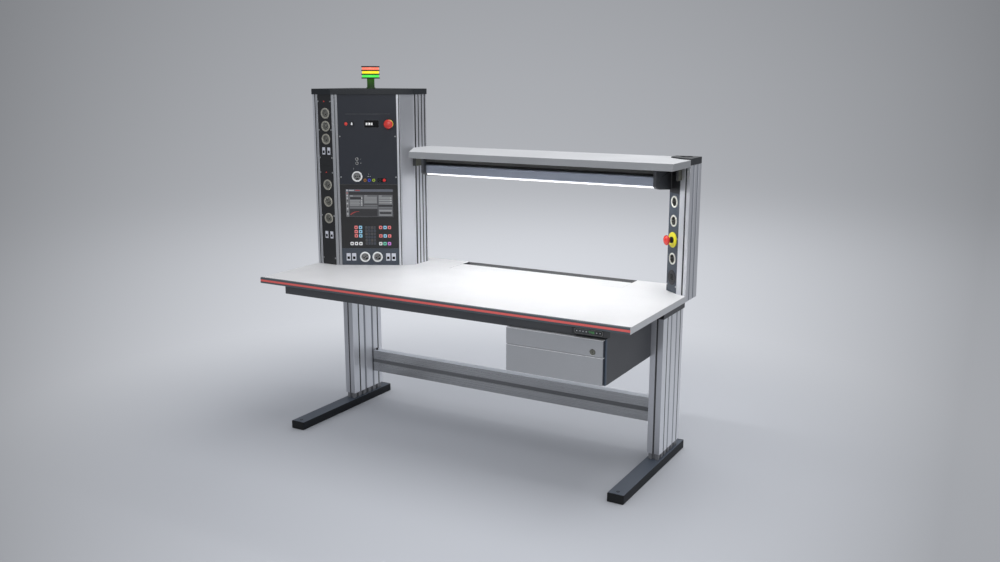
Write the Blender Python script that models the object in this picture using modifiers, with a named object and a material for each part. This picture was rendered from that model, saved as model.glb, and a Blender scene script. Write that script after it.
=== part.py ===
# Electronics workbench: a height-adjustable desk on two lifting columns, with an instrument
# tower, an energy post, a shelf with a work lamp between them, and a two-drawer cabinet.
# Metres, +Z up. X runs along the desk, the user sits on the -Y side, the floor is Z = 0.
import math
import bpy
import bmesh
from mathutils import Matrix, Vector

for old_object in list(bpy.data.objects):
    bpy.data.objects.remove(old_object, do_unlink=True)

# Fits
SEAT_GAP = 0.0003
RUNNING_GAP = 0.0006
CUT_OVERRUN = 0.002
WELD_OVERLAP = 0.001

# Desk
DESK_WIDTH = 1.800
DESK_DEPTH = 0.795
DESK_HEIGHT = 0.746
DESK_THICKNESS = 0.027
EDGE_STRIP_DEPTH = 0.010
EDGE_STRIP_RADIUS = 0.005
STRIPE_HEIGHT = 0.010
STRIPE_DEPTH = 0.002
STRIPE_PROUD = 0.0004

# Legs
LEG_INSET = 0.086
FOOT_SETBACK = 0.105
FOOT_OVERHANG = 0.005
FOOT_LENGTH = DESK_DEPTH - FOOT_SETBACK + FOOT_OVERHANG
FOOT_WIDTH = 0.070
FOOT_HEIGHT = 0.038
FOOT_BEVEL = 0.003
PLINTH_INSET = 0.005
PLINTH_HEIGHT = 0.027
COLUMN_WIDTH = 0.058
COLUMN_DEPTH = 0.233
COLUMN_REAR_GAP = 0.055
COLUMN_SETBACK = DESK_DEPTH - COLUMN_DEPTH - COLUMN_REAR_GAP
COLUMN_WALL = 0.011
FRONT_SLOT_WIDTH = 0.008
SIDE_SLOT_WIDTH = 0.009
SLOT_DEPTH = 0.007
FLUTE_WIDTH = 0.020
FLUTE_DEPTH = 0.002
SIDE_SLOT_SHARES = (0.20, 0.86)
FLUTE_SHARES = (0.40, 0.67)
LIFT_TUBE_WALL = 0.004
FRONT_SLOT_SHARES = (0.5,)
LIFT_TUBE_RISE = 0.020

# Frame under the desk
BEAM_HEIGHT = 0.061
BEAM_BACK_GAP = 0.039
TRAVERSE_SETBACK = 0.098
TRAVERSE_DEPTH = 0.030
CROSSBAR_INSET = 0.154
CROSSBAR_SETBACK = COLUMN_SETBACK + CROSSBAR_INSET
CROSSBAR_BOTTOM = 0.146
CROSSBAR_HEIGHT = 0.110
CROSSBAR_DEPTH = 0.040
CROSSBAR_SLOT_WIDTH = 0.014
CROSSBAR_SLOT_DEPTH = 0.009
CROSSBAR_WALL = 0.004
CROSSBAR_SLOT_SHARES = (0.5,)
BEAM_WALL = 0.003

# Cable flap and tray
FLAP_LEFT = 0.624
FLAP_RIGHT = 0.294
FLAP_DEPTH = 0.113
FLAP_THICKNESS = 0.018
CABLE_SLOT_DEPTH = 0.065
TRAY_WALL = 0.002
TRAY_DROP = 0.079
TRAY_FLANGE = 0.025
TRAY_TOP_DROP = 0.001

# Tower
TOWER_INSET = 0.003
TOWER_BACK_GAP = 0.083
TOWER_DEPTH = 0.312
TOWER_WIDTH = 0.433
TOWER_HEIGHT = 0.812
TOWER_PLATE_THICKNESS = 0.022
TOWER_PLATE_OVERHANG = 0.003
CORNER_WIDTH = 0.028
CORNER_DEPTH = 0.060
CORNER_SLOT_WIDTH = 0.005
CORNER_SLOT_DEPTH = 0.006
CORNER_SLOT_SHARES = (0.8,)
MIDDLE_SLOT_SHARES = (0.5,)
STRIP_WIDTH = 0.080
STRIP_RECESS = 0.002
STRIP_SPLIT_SHARE = 0.5899
UNIT_DEPTH = 0.022
FACE_TURN = math.radians(28.6)
MIDDLE_WIDTH = 0.029
PANEL_WIDTH = 0.276
PANEL_RECESS = 0.001
PANEL_THICKNESS = 0.003
SIDE_LIP = 0.015
SIDE_SETBACK = 0.202
SIDE_BEND = 0.005
SIDE_PROFILE_DEPTH = 0.050
SIDE_WALL = 0.005
PROFILE_BACK = 0.030
TOWER_SLOT_WIDTH = 0.008
TOWER_SLOT_SHARES = (0.06, 0.41, 0.77)
COVER_THICKNESS = 0.0015
OUTLET_PANEL_HEIGHT = 0.0816
SCREEN_PANEL_HEIGHT = 0.3084
SCREEN_LEFT = 0.027
SCREEN_WIDTH = 0.225
SCREEN_HEIGHT = 0.134
SCREEN_RISE = 0.152
SCREEN_PROUD = 0.001
SCREEN_DEPTH = 0.008
SUPPLY_WIDTH = 0.200
SUPPLY_DEPTH = 0.180
SUPPLY_HEIGHT = 0.300
SUPPLY_MARGIN = 0.020
SUPPLY_WALL = 0.002

# Sockets and switches
SOCKET_RADIUS = 0.0195
SOCKET_DEPTH = 0.015
SOCKET_HOUSING = 0.052
OUTLET_INSETS = (0.1107, 0.1707)
OUTLET_RISE = 0.040
PANEL_SOCKET_INSET = 0.0834
PANEL_SOCKET_RISE = 0.0365
STRIP_SOCKET_INSET = 0.0437
LOWER_SOCKET_SHARES = (0.470, 0.637, 0.804)
UPPER_SOCKET_SHARES = (0.366, 0.546, 0.727)
POST_SOCKET_PITCH = 0.080
TOWER_STOP_INSET = 0.241
CONTROL_DROP = 0.1387
KEY_INSET = 0.067
KEY_RADIUS = 0.009
KEY_SHAFT_RADIUS = 0.006
KEY_PROUD = 0.008
KEY_BAR_WIDTH = 0.004
KEY_BAR_HEIGHT = 0.004
TOWER_COLLAR_RADIUS = 0.020
POST_COLLAR_RADIUS = 0.0325
COLLAR_THICKNESS = 0.005
STEM_RADIUS = 0.008
STEM_PROUD = 0.020
STEM_SUNK = 0.002
STOP_TRAVEL = 0.005
STOP_HEAD_RADIUS = 0.0215
STOP_NECK_RADIUS = 0.013
STOP_HEAD_HEIGHT = 0.020
STOP_CROWN_SHARE = 0.60
STOP_HEAD_SHARES = (0.94, 0.65, 0.35)

# Signal light
SIGNAL_INSET = 0.213
SIGNAL_BACK = 0.138
POLE_RADIUS = 0.0175
POLE_HEIGHT = 0.046
TIER_DISC_RADIUS = 0.0437
TIER_DISC_HEIGHT = 0.0055
TIER_PITCH = 0.0174
TIER_CORE_RADIUS = 0.030
LENS_RADIUS = 0.0403
LENS_NAMES = ("green", "yellow", "red")

# Post
POST_WIDTH = 0.112
POST_BACK_GAP = 0.064
POST_PANEL_BACK = 0.063
POST_PANEL_WIDTH = 0.082
POST_TURN = math.radians(-40.4)
POST_SIDE_DEPTH = 0.137
POST_SLOT_SHARES = (0.58,)
POST_FLUTE_SHARES = (0.32, 0.68)
POST_FLUTE_WIDTH = 0.024
POST_WALL = 0.006
POST_HEIGHT = 0.539
POST_CAP_HEIGHT = 0.0277
CAP_DISH_RADIUS = 0.028
CAP_DISH_DEPTH = 0.005
POST_SOCKET_RISE = 0.0635
POST_STOP_PLACE = 2
POST_SOCKET_PLACES = (1, 3, 4)

# Shelf, lamp and brackets
SHELF_CLEARANCE = 0.533
SHELF_THICKNESS = 0.029
SHELF_DEPTH = 0.352
SHELF_BACK_GAP = 0.055
SHELF_LEFT = 0.560
SHELF_BRACKET_DROP = 0.056
SHELF_BRACKET_WIDTH = 0.018
SHELF_BRACKET_DEPTH = 0.045
SHELF_BRACKET_LEAD = 0.0085
POST_BRACKET_GRIP = (0.009, 0.002)
LAMP_LEFT = 0.576
LAMP_RIGHT = 0.121
LAMP_INSET = 0.112
LAMP_DEPTH = 0.060
LAMP_HEIGHT = 0.039
LAMP_DROP = 0.076
LAMP_CHAMFER = 0.004
LAMP_END_THICKNESS = 0.004
DIFFUSER_DEPTH = 0.044
DIFFUSER_HEIGHT = 0.007
DIFFUSER_CHAMFER = 0.003
PIN_RADIUS = 0.006
PIN_LENGTH = 0.009
BRACKET_THICKNESS = 0.012
BRACKET_INSET = 0.096
BRACKET_DEPTH = 0.175
BRACKET_DROP = 0.1025
BRACKET_NOSE_DROP = 0.0745
BRACKET_NOSE_DEPTH = 0.044
BRACKET_NOSE_SHARES = (0.3, 0.28)
BRACKET_TURN_SHARE = 0.54
RAIL_SHEET = 0.003
RAIL_LIP = 0.024
RAIL_WEB = 0.074
RAIL_INSET = 0.117
RAIL_DEPTH = 0.072

# Drawer cabinet
CABINET_INSET = 0.111
CABINET_WIDTH = 0.421
CABINET_EDGE = 0.005
CABINET_SETBACK = 0.043
CABINET_COLUMN_GAP = 0.003
CABINET_DEPTH = COLUMN_SETBACK - CABINET_SETBACK - CABINET_COLUMN_GAP
CABINET_WALL = 0.002
DRAWER_BOTTOM_DROP = 0.221
DRAWER_TOP_DROP = 0.044
DRAWER_SEAM_DROP = 0.111
DRAWER_SEAM = 0.002
FRONT_THICKNESS = 0.018
CABINET_DROP = 0.0037
RUNNER_DEPTH = 0.010
RUNNER_HEIGHT = 0.012
RUNNER_MARGIN = 0.010
TRAY_BOARD = 0.002
DRAWER_REAR_GAP = 0.061
DRAWER_TRAY_LENGTH = CABINET_DEPTH - DRAWER_REAR_GAP
UPPER_TRAY_HEIGHT = 0.032
LOWER_TRAY_HEIGHT = 0.088
TRAY_RISE = 0.008
RAIL_GAP = 0.001
LOCK_RADIUS = 0.011
LOCK_PROUD = 0.0015
LOCK_INSET = 0.043
LOCK_RISE = 0.017

# Height handset
HANDSET_WIDTH = 0.133
HANDSET_OVERHANG = 0.012
HANDSET_SETBACK = 0.003
HANDSET_DEPTH = 0.059
HANDSET_FRONT_HEIGHT = 0.025
HANDSET_REAR_HEIGHT = 0.040
KEYCAP_WIDTH = 0.009
KEYCAP_HEIGHT = 0.008
KEYCAP_DEPTH = 0.004
KEYCAP_PROUD = 0.0015
KEYCAP_TRAVEL = 0.001
KEYCAP_INSETS = {"key_up": 0.0287, "key_down": 0.0150}
KEYCAP_RISE = 0.0145

# Round pieces
ROUND_SIDES = 24
SOCKET_SIDES = 16
ARC_STEPS = 4

# Places that follow from the sizes
LEFT = -DESK_WIDTH / 2
RIGHT = DESK_WIDTH / 2
FRONT = -(FOOT_SETBACK + FOOT_LENGTH) / 2
REAR = FRONT + DESK_DEPTH
DESK_UNDER = DESK_HEIGHT - DESK_THICKNESS
BEAM_TOP = DESK_UNDER - SEAT_GAP
BEAM_BOTTOM = BEAM_TOP - BEAM_HEIGHT
COLUMN_BOTTOM = FOOT_HEIGHT + PLINTH_HEIGHT
SHELF_UNDER = DESK_HEIGHT + SHELF_CLEARANCE
SHELF_TOP = SHELF_UNDER + SHELF_THICKNESS
TOWER_BOTTOM = DESK_HEIGHT + SEAT_GAP
TOWER_TOP = DESK_HEIGHT + TOWER_HEIGHT
cabinet_right = RIGHT - CABINET_INSET
cabinet_left = cabinet_right - CABINET_WIDTH
cabinet_front = FRONT + CABINET_SETBACK
cabinet_back = cabinet_front + CABINET_DEPTH

parts = bpy.data.collections.new("electronics_workbench")
tools = bpy.data.collections.new("cutters")
bpy.context.scene.collection.children.link(parts)
bpy.context.scene.collection.children.link(tools)


def paint(name, colour, roughness, metallic=0.0):
    """A Principled material."""
    made = bpy.data.materials.new(name)
    made.use_nodes = True
    shader = made.node_tree.nodes["Principled BSDF"]
    shader.inputs["Base Color"].default_value = (*colour, 1.0)
    shader.inputs["Roughness"].default_value = roughness
    shader.inputs["Metallic"].default_value = metallic
    made.diffuse_color = (*colour, 1.0)
    return made


METALLIC = 0.9
CAST_METALLIC = 0.3
LAMP_METALLIC = 0.6
ANODISED = paint("anodised_aluminium", (0.55, 0.57, 0.61), 0.38, METALLIC)
ANTHRACITE = paint("anthracite_paint", (0.055, 0.062, 0.075), 0.50)
GRAPHITE = paint("graphite_paint", (0.075, 0.08, 0.088), 0.55)
WHITE_BOARD = paint("white_laminate", (0.80, 0.80, 0.81), 0.40)
BOARD_EDGE = paint("grey_edge_band", (0.36, 0.37, 0.38), 0.50)
SLATE_PLASTIC = paint("slate_plastic", (0.09, 0.115, 0.13), 0.45)
SIGNAL_RED = paint("red_plastic", (0.65, 0.06, 0.05), 0.35)
SIGNAL_YELLOW = paint("yellow_plastic", (0.80, 0.68, 0.02), 0.40)
SIGNAL_GREEN = paint("green_lens", (0.10, 0.75, 0.12), 0.30)
BLACK_PLASTIC = paint("black_plastic", (0.02, 0.021, 0.023), 0.45)
GREY_FRONT = paint("grey_drawer_front", (0.30, 0.31, 0.33), 0.45)
STEEL = paint("zinc_plated_steel", (0.50, 0.50, 0.50), 0.35, METALLIC)
CAST_ZINC = paint("olive_cast_bracket", (0.11, 0.11, 0.085), 0.60, CAST_METALLIC)
LAMP_ALUMINIUM = paint("lamp_aluminium", (0.30, 0.34, 0.40), 0.40, LAMP_METALLIC)
OPAL = paint("opal_diffuser", (0.95, 0.95, 0.95), 0.30)
SCREEN_GLASS = paint("screen_glass", (0.03, 0.03, 0.035), 0.15)


def place(made, name, finish, parent=None, at=(0, 0, 0), turn=(0, 0, 0)):
    """Name a mesh, give it its finish and put it in its parent's frame."""
    body = bpy.data.objects.new(name, made)
    body.data.materials.clear()
    body.data.materials.append(finish)
    body.parent = parent
    body.location = at
    body.rotation_euler = turn
    parts.objects.link(body)
    return body


def frame_at(name, at, turn=(0, 0, 0), parent=None):
    """An empty that carries the pieces of a turned face."""
    empty = bpy.data.objects.new(name, None)
    empty.location = at
    empty.rotation_euler = turn
    empty.parent = parent
    parts.objects.link(empty)
    return empty


def block_mesh(low, high):
    """A box between two corners."""
    low = Vector(low)
    high = Vector(high)
    work = bmesh.new()
    bmesh.ops.create_cube(work, size=1.0)
    bmesh.ops.scale(work, vec=high - low, verts=work.verts)
    bmesh.ops.translate(work, vec=(low + high) / 2, verts=work.verts)
    made = bpy.data.meshes.new("block")
    work.to_mesh(made)
    work.free()
    return made


def rod_mesh(radius, low, high, axis="Z", centre=(0, 0), sides=ROUND_SIDES):
    """A cylinder from low to high along an axis; centre is its place across that axis."""
    work = bmesh.new()
    bmesh.ops.create_cone(work, cap_ends=True, segments=sides, radius1=radius, radius2=radius,
                          depth=high - low)
    middle = (low + high) / 2
    if axis == "Z":
        turn = Matrix.Identity(4)
        spot = (centre[0], centre[1], middle)
    elif axis == "Y":
        turn = Matrix.Rotation(math.radians(90), 4, "X")
        spot = (centre[0], middle, centre[1])
    else:
        turn = Matrix.Rotation(math.radians(90), 4, "Y")
        spot = (middle, centre[0], centre[1])
    bmesh.ops.transform(work, matrix=Matrix.Translation(spot) @ turn, verts=work.verts)
    made = bpy.data.meshes.new("rod")
    work.to_mesh(made)
    work.free()
    return made


def prism_mesh(outline, low, high, along="Z", holes=()):
    """A flat outline made solid from low to high along Z, or along X with the outline in Y and Z."""
    curve = bpy.data.curves.new("outline", "CURVE")
    curve.dimensions = "2D"
    curve.fill_mode = "BOTH"
    curve.extrude = (high - low) / 2
    for loop in (outline, *holes):
        spline = curve.splines.new("POLY")
        spline.points.add(len(loop) - 1)
        spline.use_cyclic_u = True
        for point, (across, up) in zip(spline.points, loop):
            point.co = (across, up, 0, 1)
    guide = bpy.data.objects.new("outline", curve)
    parts.objects.link(guide)
    bpy.context.view_layer.update()
    made = bpy.data.meshes.new_from_object(guide.evaluated_get(bpy.context.evaluated_depsgraph_get()))
    bpy.data.objects.remove(guide, do_unlink=True)
    move = Matrix.Translation((0, 0, (low + high) / 2))
    if along == "X":
        move = Matrix.Rotation(math.radians(90), 4, "Z") @ Matrix.Rotation(math.radians(90), 4, "X") @ move
    work = bmesh.new()
    work.from_mesh(made)
    bmesh.ops.remove_doubles(work, verts=work.verts, dist=SEAT_GAP / 10)
    bmesh.ops.transform(work, matrix=move, verts=work.verts)
    bmesh.ops.recalc_face_normals(work, faces=work.faces)
    work.to_mesh(made)
    work.free()
    return made


def turned(name, profile, finish, parent=None, at=(0, 0, 0), turn=(0, 0, 0), closed=False):
    """A profile of radius and height, top to bottom on its outer side, spun about local Z."""
    work = bmesh.new()
    spots = [work.verts.new((radius, 0, height)) for radius, height in profile]
    pairs = list(zip(spots, spots[1:]))
    if closed:
        pairs.append((spots[-1], spots[0]))
    for pair in pairs:
        work.edges.new(pair)
    made = bpy.data.meshes.new(name)
    work.to_mesh(made)
    work.free()
    body = place(made, name, finish, parent, at, turn)
    spin = body.modifiers.new("Screw", "SCREW")
    spin.steps = ROUND_SIDES
    spin.render_steps = ROUND_SIDES
    spin.use_merge_vertices = True
    spin.merge_threshold = SEAT_GAP / 10
    return body


def work_on(body, made, operation):
    """Cut a tool mesh from a body, or join it on, in the body's own frame."""
    tool = bpy.data.objects.new(body.name + "_tool", made)
    tool.parent = body.parent
    tool.location = body.location
    tool.rotation_euler = body.rotation_euler
    tool.hide_render = True
    tool.display_type = "WIRE"
    tools.objects.link(tool)
    step = body.modifiers.new("Boolean", "BOOLEAN")
    step.operation = operation
    step.solver = "EXACT"
    step.object = tool


def cut(body, made):
    work_on(body, made, "DIFFERENCE")


def join(body, made):
    work_on(body, made, "UNION")


def soften(body, width, segments=1):
    edge = body.modifiers.new("Bevel", "BEVEL")
    edge.width = width
    edge.segments = segments
    edge.limit_method = "ANGLE"


def slotted(start, end, shares, width, depth):
    """Points along an edge with square grooves at the given shares of its length, cut to its left."""
    start = Vector(start)
    end = Vector(end)
    way = (end - start).normalized()
    inward = Vector((-way.y, way.x))
    points = [tuple(start)]
    for share in shares:
        middle = start + (end - start) * share
        near = middle - way * width / 2
        far = middle + way * width / 2
        points += [tuple(near), tuple(near + inward * depth), tuple(far + inward * depth), tuple(far)]
    return points


def arc(centre, radius, first, last):
    """Points of a quarter arc, angles in degrees."""
    points = []
    for step in range(ARC_STEPS + 1):
        angle = math.radians(first + (last - first) * step / ARC_STEPS)
        points.append((centre[0] + radius * math.cos(angle), centre[1] + radius * math.sin(angle)))
    return points


def rectangle(low, high, inset=0):
    """A rectangle, or the same one drawn in by a wall."""
    return [(low[0] + inset, low[1] + inset), (high[0] - inset, low[1] + inset),
            (high[0] - inset, high[1] - inset), (low[0] + inset, high[1] - inset)]


def chamfered(low, high, size):
    """A rectangle with cut corners."""
    return [(low[0] + size, low[1]), (high[0] - size, low[1]), (high[0], low[1] + size),
            (high[0], high[1] - size), (high[0] - size, high[1]), (low[0] + size, high[1]),
            (low[0], high[1] - size), (low[0], low[1] + size)]


def leg(side, word):
    """One foot, its column and the lift tube inside."""
    middle = side * (DESK_WIDTH / 2 - LEG_INSET)
    foot_front = FRONT + FOOT_SETBACK
    column_front = FRONT + COLUMN_SETBACK
    column_back = column_front + COLUMN_DEPTH
    half = COLUMN_WIDTH / 2
    foot = place(block_mesh((middle - FOOT_WIDTH / 2, foot_front, 0),
                            (middle + FOOT_WIDTH / 2, foot_front + FOOT_LENGTH, FOOT_HEIGHT)),
                 "foot_" + word, ANTHRACITE)
    soften(foot, FOOT_BEVEL)
    join(foot, block_mesh((middle - half + PLINTH_INSET, column_front + PLINTH_INSET, FOOT_HEIGHT / 2),
                          (middle + half - PLINTH_INSET, column_back - PLINTH_INSET,
                           COLUMN_BOTTOM - SEAT_GAP)))
    corners = [(middle - half, column_front), (middle + half, column_front),
               (middle + half, column_back), (middle - half, column_back)]
    outline = slotted(corners[0], corners[1], FRONT_SLOT_SHARES, FRONT_SLOT_WIDTH, SLOT_DEPTH)
    for start, end, flip in ((corners[1], corners[2], False), (corners[3], corners[0], True)):
        marks = [(share, SIDE_SLOT_WIDTH, SLOT_DEPTH) for share in SIDE_SLOT_SHARES]
        marks += [(share, FLUTE_WIDTH, FLUTE_DEPTH) for share in FLUTE_SHARES]
        if flip:
            marks = [(1 - share, width, depth) for share, width, depth in marks]
        edge = [start]
        for share, width, depth in sorted(marks):
            edge += slotted(start, end, (share,), width, depth)[1:]
        outline += edge
        if not flip:
            outline += slotted(corners[2], corners[3], FRONT_SLOT_SHARES, FRONT_SLOT_WIDTH, SLOT_DEPTH)
    low = (middle - half, column_front)
    high = (middle + half, column_back)
    column_top = BEAM_BOTTOM - SEAT_GAP
    place(prism_mesh(outline, COLUMN_BOTTOM, column_top, holes=(rectangle(low, high, COLUMN_WALL),)),
          "column_" + word, ANODISED)
    slack = COLUMN_WALL + RUNNING_GAP
    chamber = slack + LIFT_TUBE_WALL
    web_front = (column_front + column_back - LIFT_TUBE_WALL) / 2 + chamber
    web_back = (column_front + column_back + LIFT_TUBE_WALL) / 2 - chamber
    place(prism_mesh(rectangle(low, high, slack), COLUMN_BOTTOM + LIFT_TUBE_RISE, column_top,
                     holes=(rectangle(low, (high[0], web_front), chamber),
                            rectangle((low[0], web_back), high, chamber))),
          "lift_tube_" + word, STEEL)
    beam_front = FRONT + TRAVERSE_SETBACK + TRAVERSE_DEPTH + SEAT_GAP
    if side > 0:
        beam_front = cabinet_back + SEAT_GAP
    beam_back = REAR - BEAM_BACK_GAP
    beam = place(block_mesh((middle - half, beam_front, BEAM_BOTTOM), (middle + half, beam_back, BEAM_TOP)),
                 "side_beam_" + word, GRAPHITE)
    cut(beam, block_mesh((middle - half + BEAM_WALL, beam_front - CUT_OVERRUN, BEAM_BOTTOM + BEAM_WALL),
                         (middle + half - BEAM_WALL, beam_back + CUT_OVERRUN, BEAM_TOP - BEAM_WALL)))


leg(-1, "left")
leg(1, "right")

# Front traverse and the crossbar between the columns
LEG_REACH = DESK_WIDTH / 2 - LEG_INSET + COLUMN_WIDTH / 2
COLUMN_REACH = DESK_WIDTH / 2 - LEG_INSET - COLUMN_WIDTH / 2 - SEAT_GAP
traverse_front = FRONT + TRAVERSE_SETBACK
traverse_low = (traverse_front, BEAM_BOTTOM)
traverse_high = (traverse_front + TRAVERSE_DEPTH, BEAM_TOP)
place(prism_mesh(rectangle(traverse_low, traverse_high), -LEG_REACH, cabinet_left - SEAT_GAP, "X",
                 holes=(rectangle(traverse_low, traverse_high, BEAM_WALL),)),
      "front_traverse", GRAPHITE)
bar_front = FRONT + CROSSBAR_SETBACK
bar_back = bar_front + CROSSBAR_DEPTH
bar_top = CROSSBAR_BOTTOM + CROSSBAR_HEIGHT
bar_outline = [(bar_front, CROSSBAR_BOTTOM), (bar_back, CROSSBAR_BOTTOM), (bar_back, bar_top)]
bar_outline += slotted((bar_front, bar_top), (bar_front, CROSSBAR_BOTTOM), CROSSBAR_SLOT_SHARES,
                       CROSSBAR_SLOT_WIDTH, CROSSBAR_SLOT_DEPTH)
slot_reach = (CROSSBAR_HEIGHT - CROSSBAR_SLOT_WIDTH) / 2
chambers = [rectangle((bar_front, CROSSBAR_BOTTOM), (bar_back, CROSSBAR_BOTTOM + slot_reach), CROSSBAR_WALL),
            rectangle((bar_front, bar_top - slot_reach), (bar_back, bar_top), CROSSBAR_WALL)]
place(prism_mesh(bar_outline, -COLUMN_REACH, COLUMN_REACH, "X", holes=chambers), "crossbar", ANODISED)

# Plan of the post: its turned panel, its short front facet and its outer side
post_back = REAR - POST_BACK_GAP
post_start = Vector((RIGHT - POST_WIDTH, post_back - POST_PANEL_BACK))
panel_way = Vector((math.cos(POST_TURN), math.sin(POST_TURN)))
panel_in = Vector((-panel_way.y, panel_way.x))
post_corner = post_start + panel_way * POST_PANEL_WIDTH
post_edge = Vector((RIGHT, post_back - POST_SIDE_DEPTH))
post_left = post_start.x

# Desk top, with the notch for the post and the cut-out for the flap
flap_left = LEFT + FLAP_LEFT
flap_right = RIGHT - FLAP_RIGHT
flap_front = REAR - CABLE_SLOT_DEPTH - FLAP_DEPTH
board_front = FRONT + EDGE_STRIP_DEPTH + SEAT_GAP
desk_outline = [(LEFT, board_front), (RIGHT, board_front),
                (RIGHT, post_edge.y - RUNNING_GAP),
                (post_corner.x - RUNNING_GAP, post_corner.y - RUNNING_GAP),
                (post_left - RUNNING_GAP, post_start.y - RUNNING_GAP),
                (post_left - RUNNING_GAP, REAR), (flap_right, REAR), (flap_right, flap_front),
                (flap_left, flap_front), (flap_left, REAR), (LEFT, REAR)]
place(prism_mesh(desk_outline, DESK_UNDER, DESK_HEIGHT), "desk_top", WHITE_BOARD)

# Edge strip with its let-in stripe
strip_back = FRONT + EDGE_STRIP_DEPTH
low_arc = arc((FRONT + EDGE_STRIP_RADIUS, DESK_UNDER + EDGE_STRIP_RADIUS), EDGE_STRIP_RADIUS, 180, 270)
high_arc = arc((FRONT + EDGE_STRIP_RADIUS, DESK_HEIGHT - EDGE_STRIP_RADIUS), EDGE_STRIP_RADIUS, 90, 180)
stripe_low = DESK_UNDER + (DESK_THICKNESS - STRIPE_HEIGHT) / 2
stripe_high = stripe_low + STRIPE_HEIGHT
groove = [(FRONT, stripe_high), (FRONT + STRIPE_DEPTH, stripe_high),
          (FRONT + STRIPE_DEPTH, stripe_low), (FRONT, stripe_low)]
strip_outline = low_arc + [(strip_back, DESK_UNDER), (strip_back, DESK_HEIGHT)] + high_arc + groove
place(prism_mesh(strip_outline, LEFT, RIGHT, "X"), "edge_strip", SLATE_PLASTIC)
place(block_mesh((LEFT, FRONT + STRIPE_PROUD, stripe_low + SEAT_GAP),
                 (RIGHT, FRONT + STRIPE_DEPTH - SEAT_GAP, stripe_high - SEAT_GAP)),
      "edge_stripe", SIGNAL_RED)

# Cable flap, hinged along its front edge, and the tray below the slot
flap_hinge = flap_front + RUNNING_GAP
flap_middle = (flap_left + flap_right) / 2
flap_half = (flap_right - flap_left) / 2 - RUNNING_GAP
place(block_mesh((-flap_half, 0, -FLAP_THICKNESS), (flap_half, FLAP_DEPTH - RUNNING_GAP, 0)),
      "cable_flap", WHITE_BOARD, at=(flap_middle, flap_hinge, DESK_HEIGHT))
tray_front = flap_front - 2 * TRAY_WALL
tray_bottom = DESK_UNDER - TRAY_DROP
tray_top = DESK_HEIGHT - TRAY_TOP_DROP
tray_outline = [(tray_front - TRAY_FLANGE, BEAM_TOP), (tray_front - TRAY_FLANGE, BEAM_TOP - TRAY_WALL),
                (tray_front, BEAM_TOP - TRAY_WALL), (tray_front, tray_bottom), (REAR, tray_bottom),
                (REAR, tray_top), (REAR - TRAY_WALL, tray_top), (REAR - TRAY_WALL, tray_bottom + TRAY_WALL),
                (tray_front + TRAY_WALL, tray_bottom + TRAY_WALL), (tray_front + TRAY_WALL, BEAM_TOP)]
place(prism_mesh(tray_outline, flap_left + RUNNING_GAP, flap_right - RUNNING_GAP, "X"),
      "cable_tray", GRAPHITE)

# Tower plan: corner profile, socket strips, then the turned face
tower_left = LEFT + TOWER_INSET
tower_right = tower_left + TOWER_WIDTH
tower_back = REAR - TOWER_BACK_GAP
tower_front = tower_back - TOWER_DEPTH
bend_x = tower_left + CORNER_WIDTH + STRIP_WIDTH + SEAT_GAP
face_way = Vector((math.cos(FACE_TURN), math.sin(FACE_TURN)))
face_in = Vector((-face_way.y, face_way.x))
bend = Vector((bend_x, tower_front + STRIP_RECESS))
corner_right = tower_left + CORNER_WIDTH
corner_outline = [(tower_left, tower_front)]
corner_outline += slotted((tower_left, tower_front), (corner_right, tower_front), CORNER_SLOT_SHARES,
                          CORNER_SLOT_WIDTH, CORNER_SLOT_DEPTH)[1:]
corner_outline += [(corner_right, tower_front), (corner_right, tower_front + CORNER_DEPTH),
                   (tower_left, tower_front + CORNER_DEPTH)]
place(prism_mesh(corner_outline, TOWER_BOTTOM, TOWER_TOP), "tower_corner_profile", ANODISED)

# Socket strips in the left face
strip_left = corner_right + SEAT_GAP
strip_front = tower_front + STRIP_RECESS
split = TOWER_BOTTOM + TOWER_HEIGHT * STRIP_SPLIT_SHARE
for word, low, high, shares in (("lower", TOWER_BOTTOM, split, LOWER_SOCKET_SHARES),
                                ("upper", split + SEAT_GAP, TOWER_TOP, UPPER_SOCKET_SHARES)):
    strip = place(block_mesh((strip_left, strip_front, low),
                             (strip_left + STRIP_WIDTH - 2 * SEAT_GAP, strip_front + UNIT_DEPTH, high)),
                  "socket_strip_" + word, BLACK_PLASTIC)
    for share in shares:
        cut(strip, rod_mesh(SOCKET_RADIUS, strip_front - CUT_OVERRUN, strip_front + SOCKET_DEPTH, "Y",
                            (strip_left + STRIP_SOCKET_INSET, low + (high - low) * share), SOCKET_SIDES))

# Profiles on both sides of the turned face
middle_outline = [(bend.x + SEAT_GAP, bend.y + SEAT_GAP)]
middle_end = bend + face_way * (MIDDLE_WIDTH - SEAT_GAP)
middle_outline += slotted(bend + face_way * SEAT_GAP * 2, middle_end, MIDDLE_SLOT_SHARES,
                          CORNER_SLOT_WIDTH, CORNER_SLOT_DEPTH)[1:]
middle_outline += [tuple(middle_end), tuple(middle_end + face_in * PROFILE_BACK),
                   (bend.x + SEAT_GAP, middle_end.y + PROFILE_BACK * face_in.y)]
place(prism_mesh(middle_outline, TOWER_BOTTOM, TOWER_TOP), "tower_middle_profile", ANODISED)
side_start = bend + face_way * (MIDDLE_WIDTH + PANEL_WIDTH + SEAT_GAP)
side_lip = side_start + face_way * SIDE_LIP
side_turn = Vector((tower_right - SIDE_BEND, tower_front + SIDE_SETBACK))
side_front = Vector((tower_right, side_turn.y + SIDE_BEND))
side_outline = [tuple(side_start), tuple(side_lip), tuple(side_turn)]
side_outline += slotted(side_front, (tower_right, tower_back), TOWER_SLOT_SHARES,
                        TOWER_SLOT_WIDTH, SLOT_DEPTH)
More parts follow.
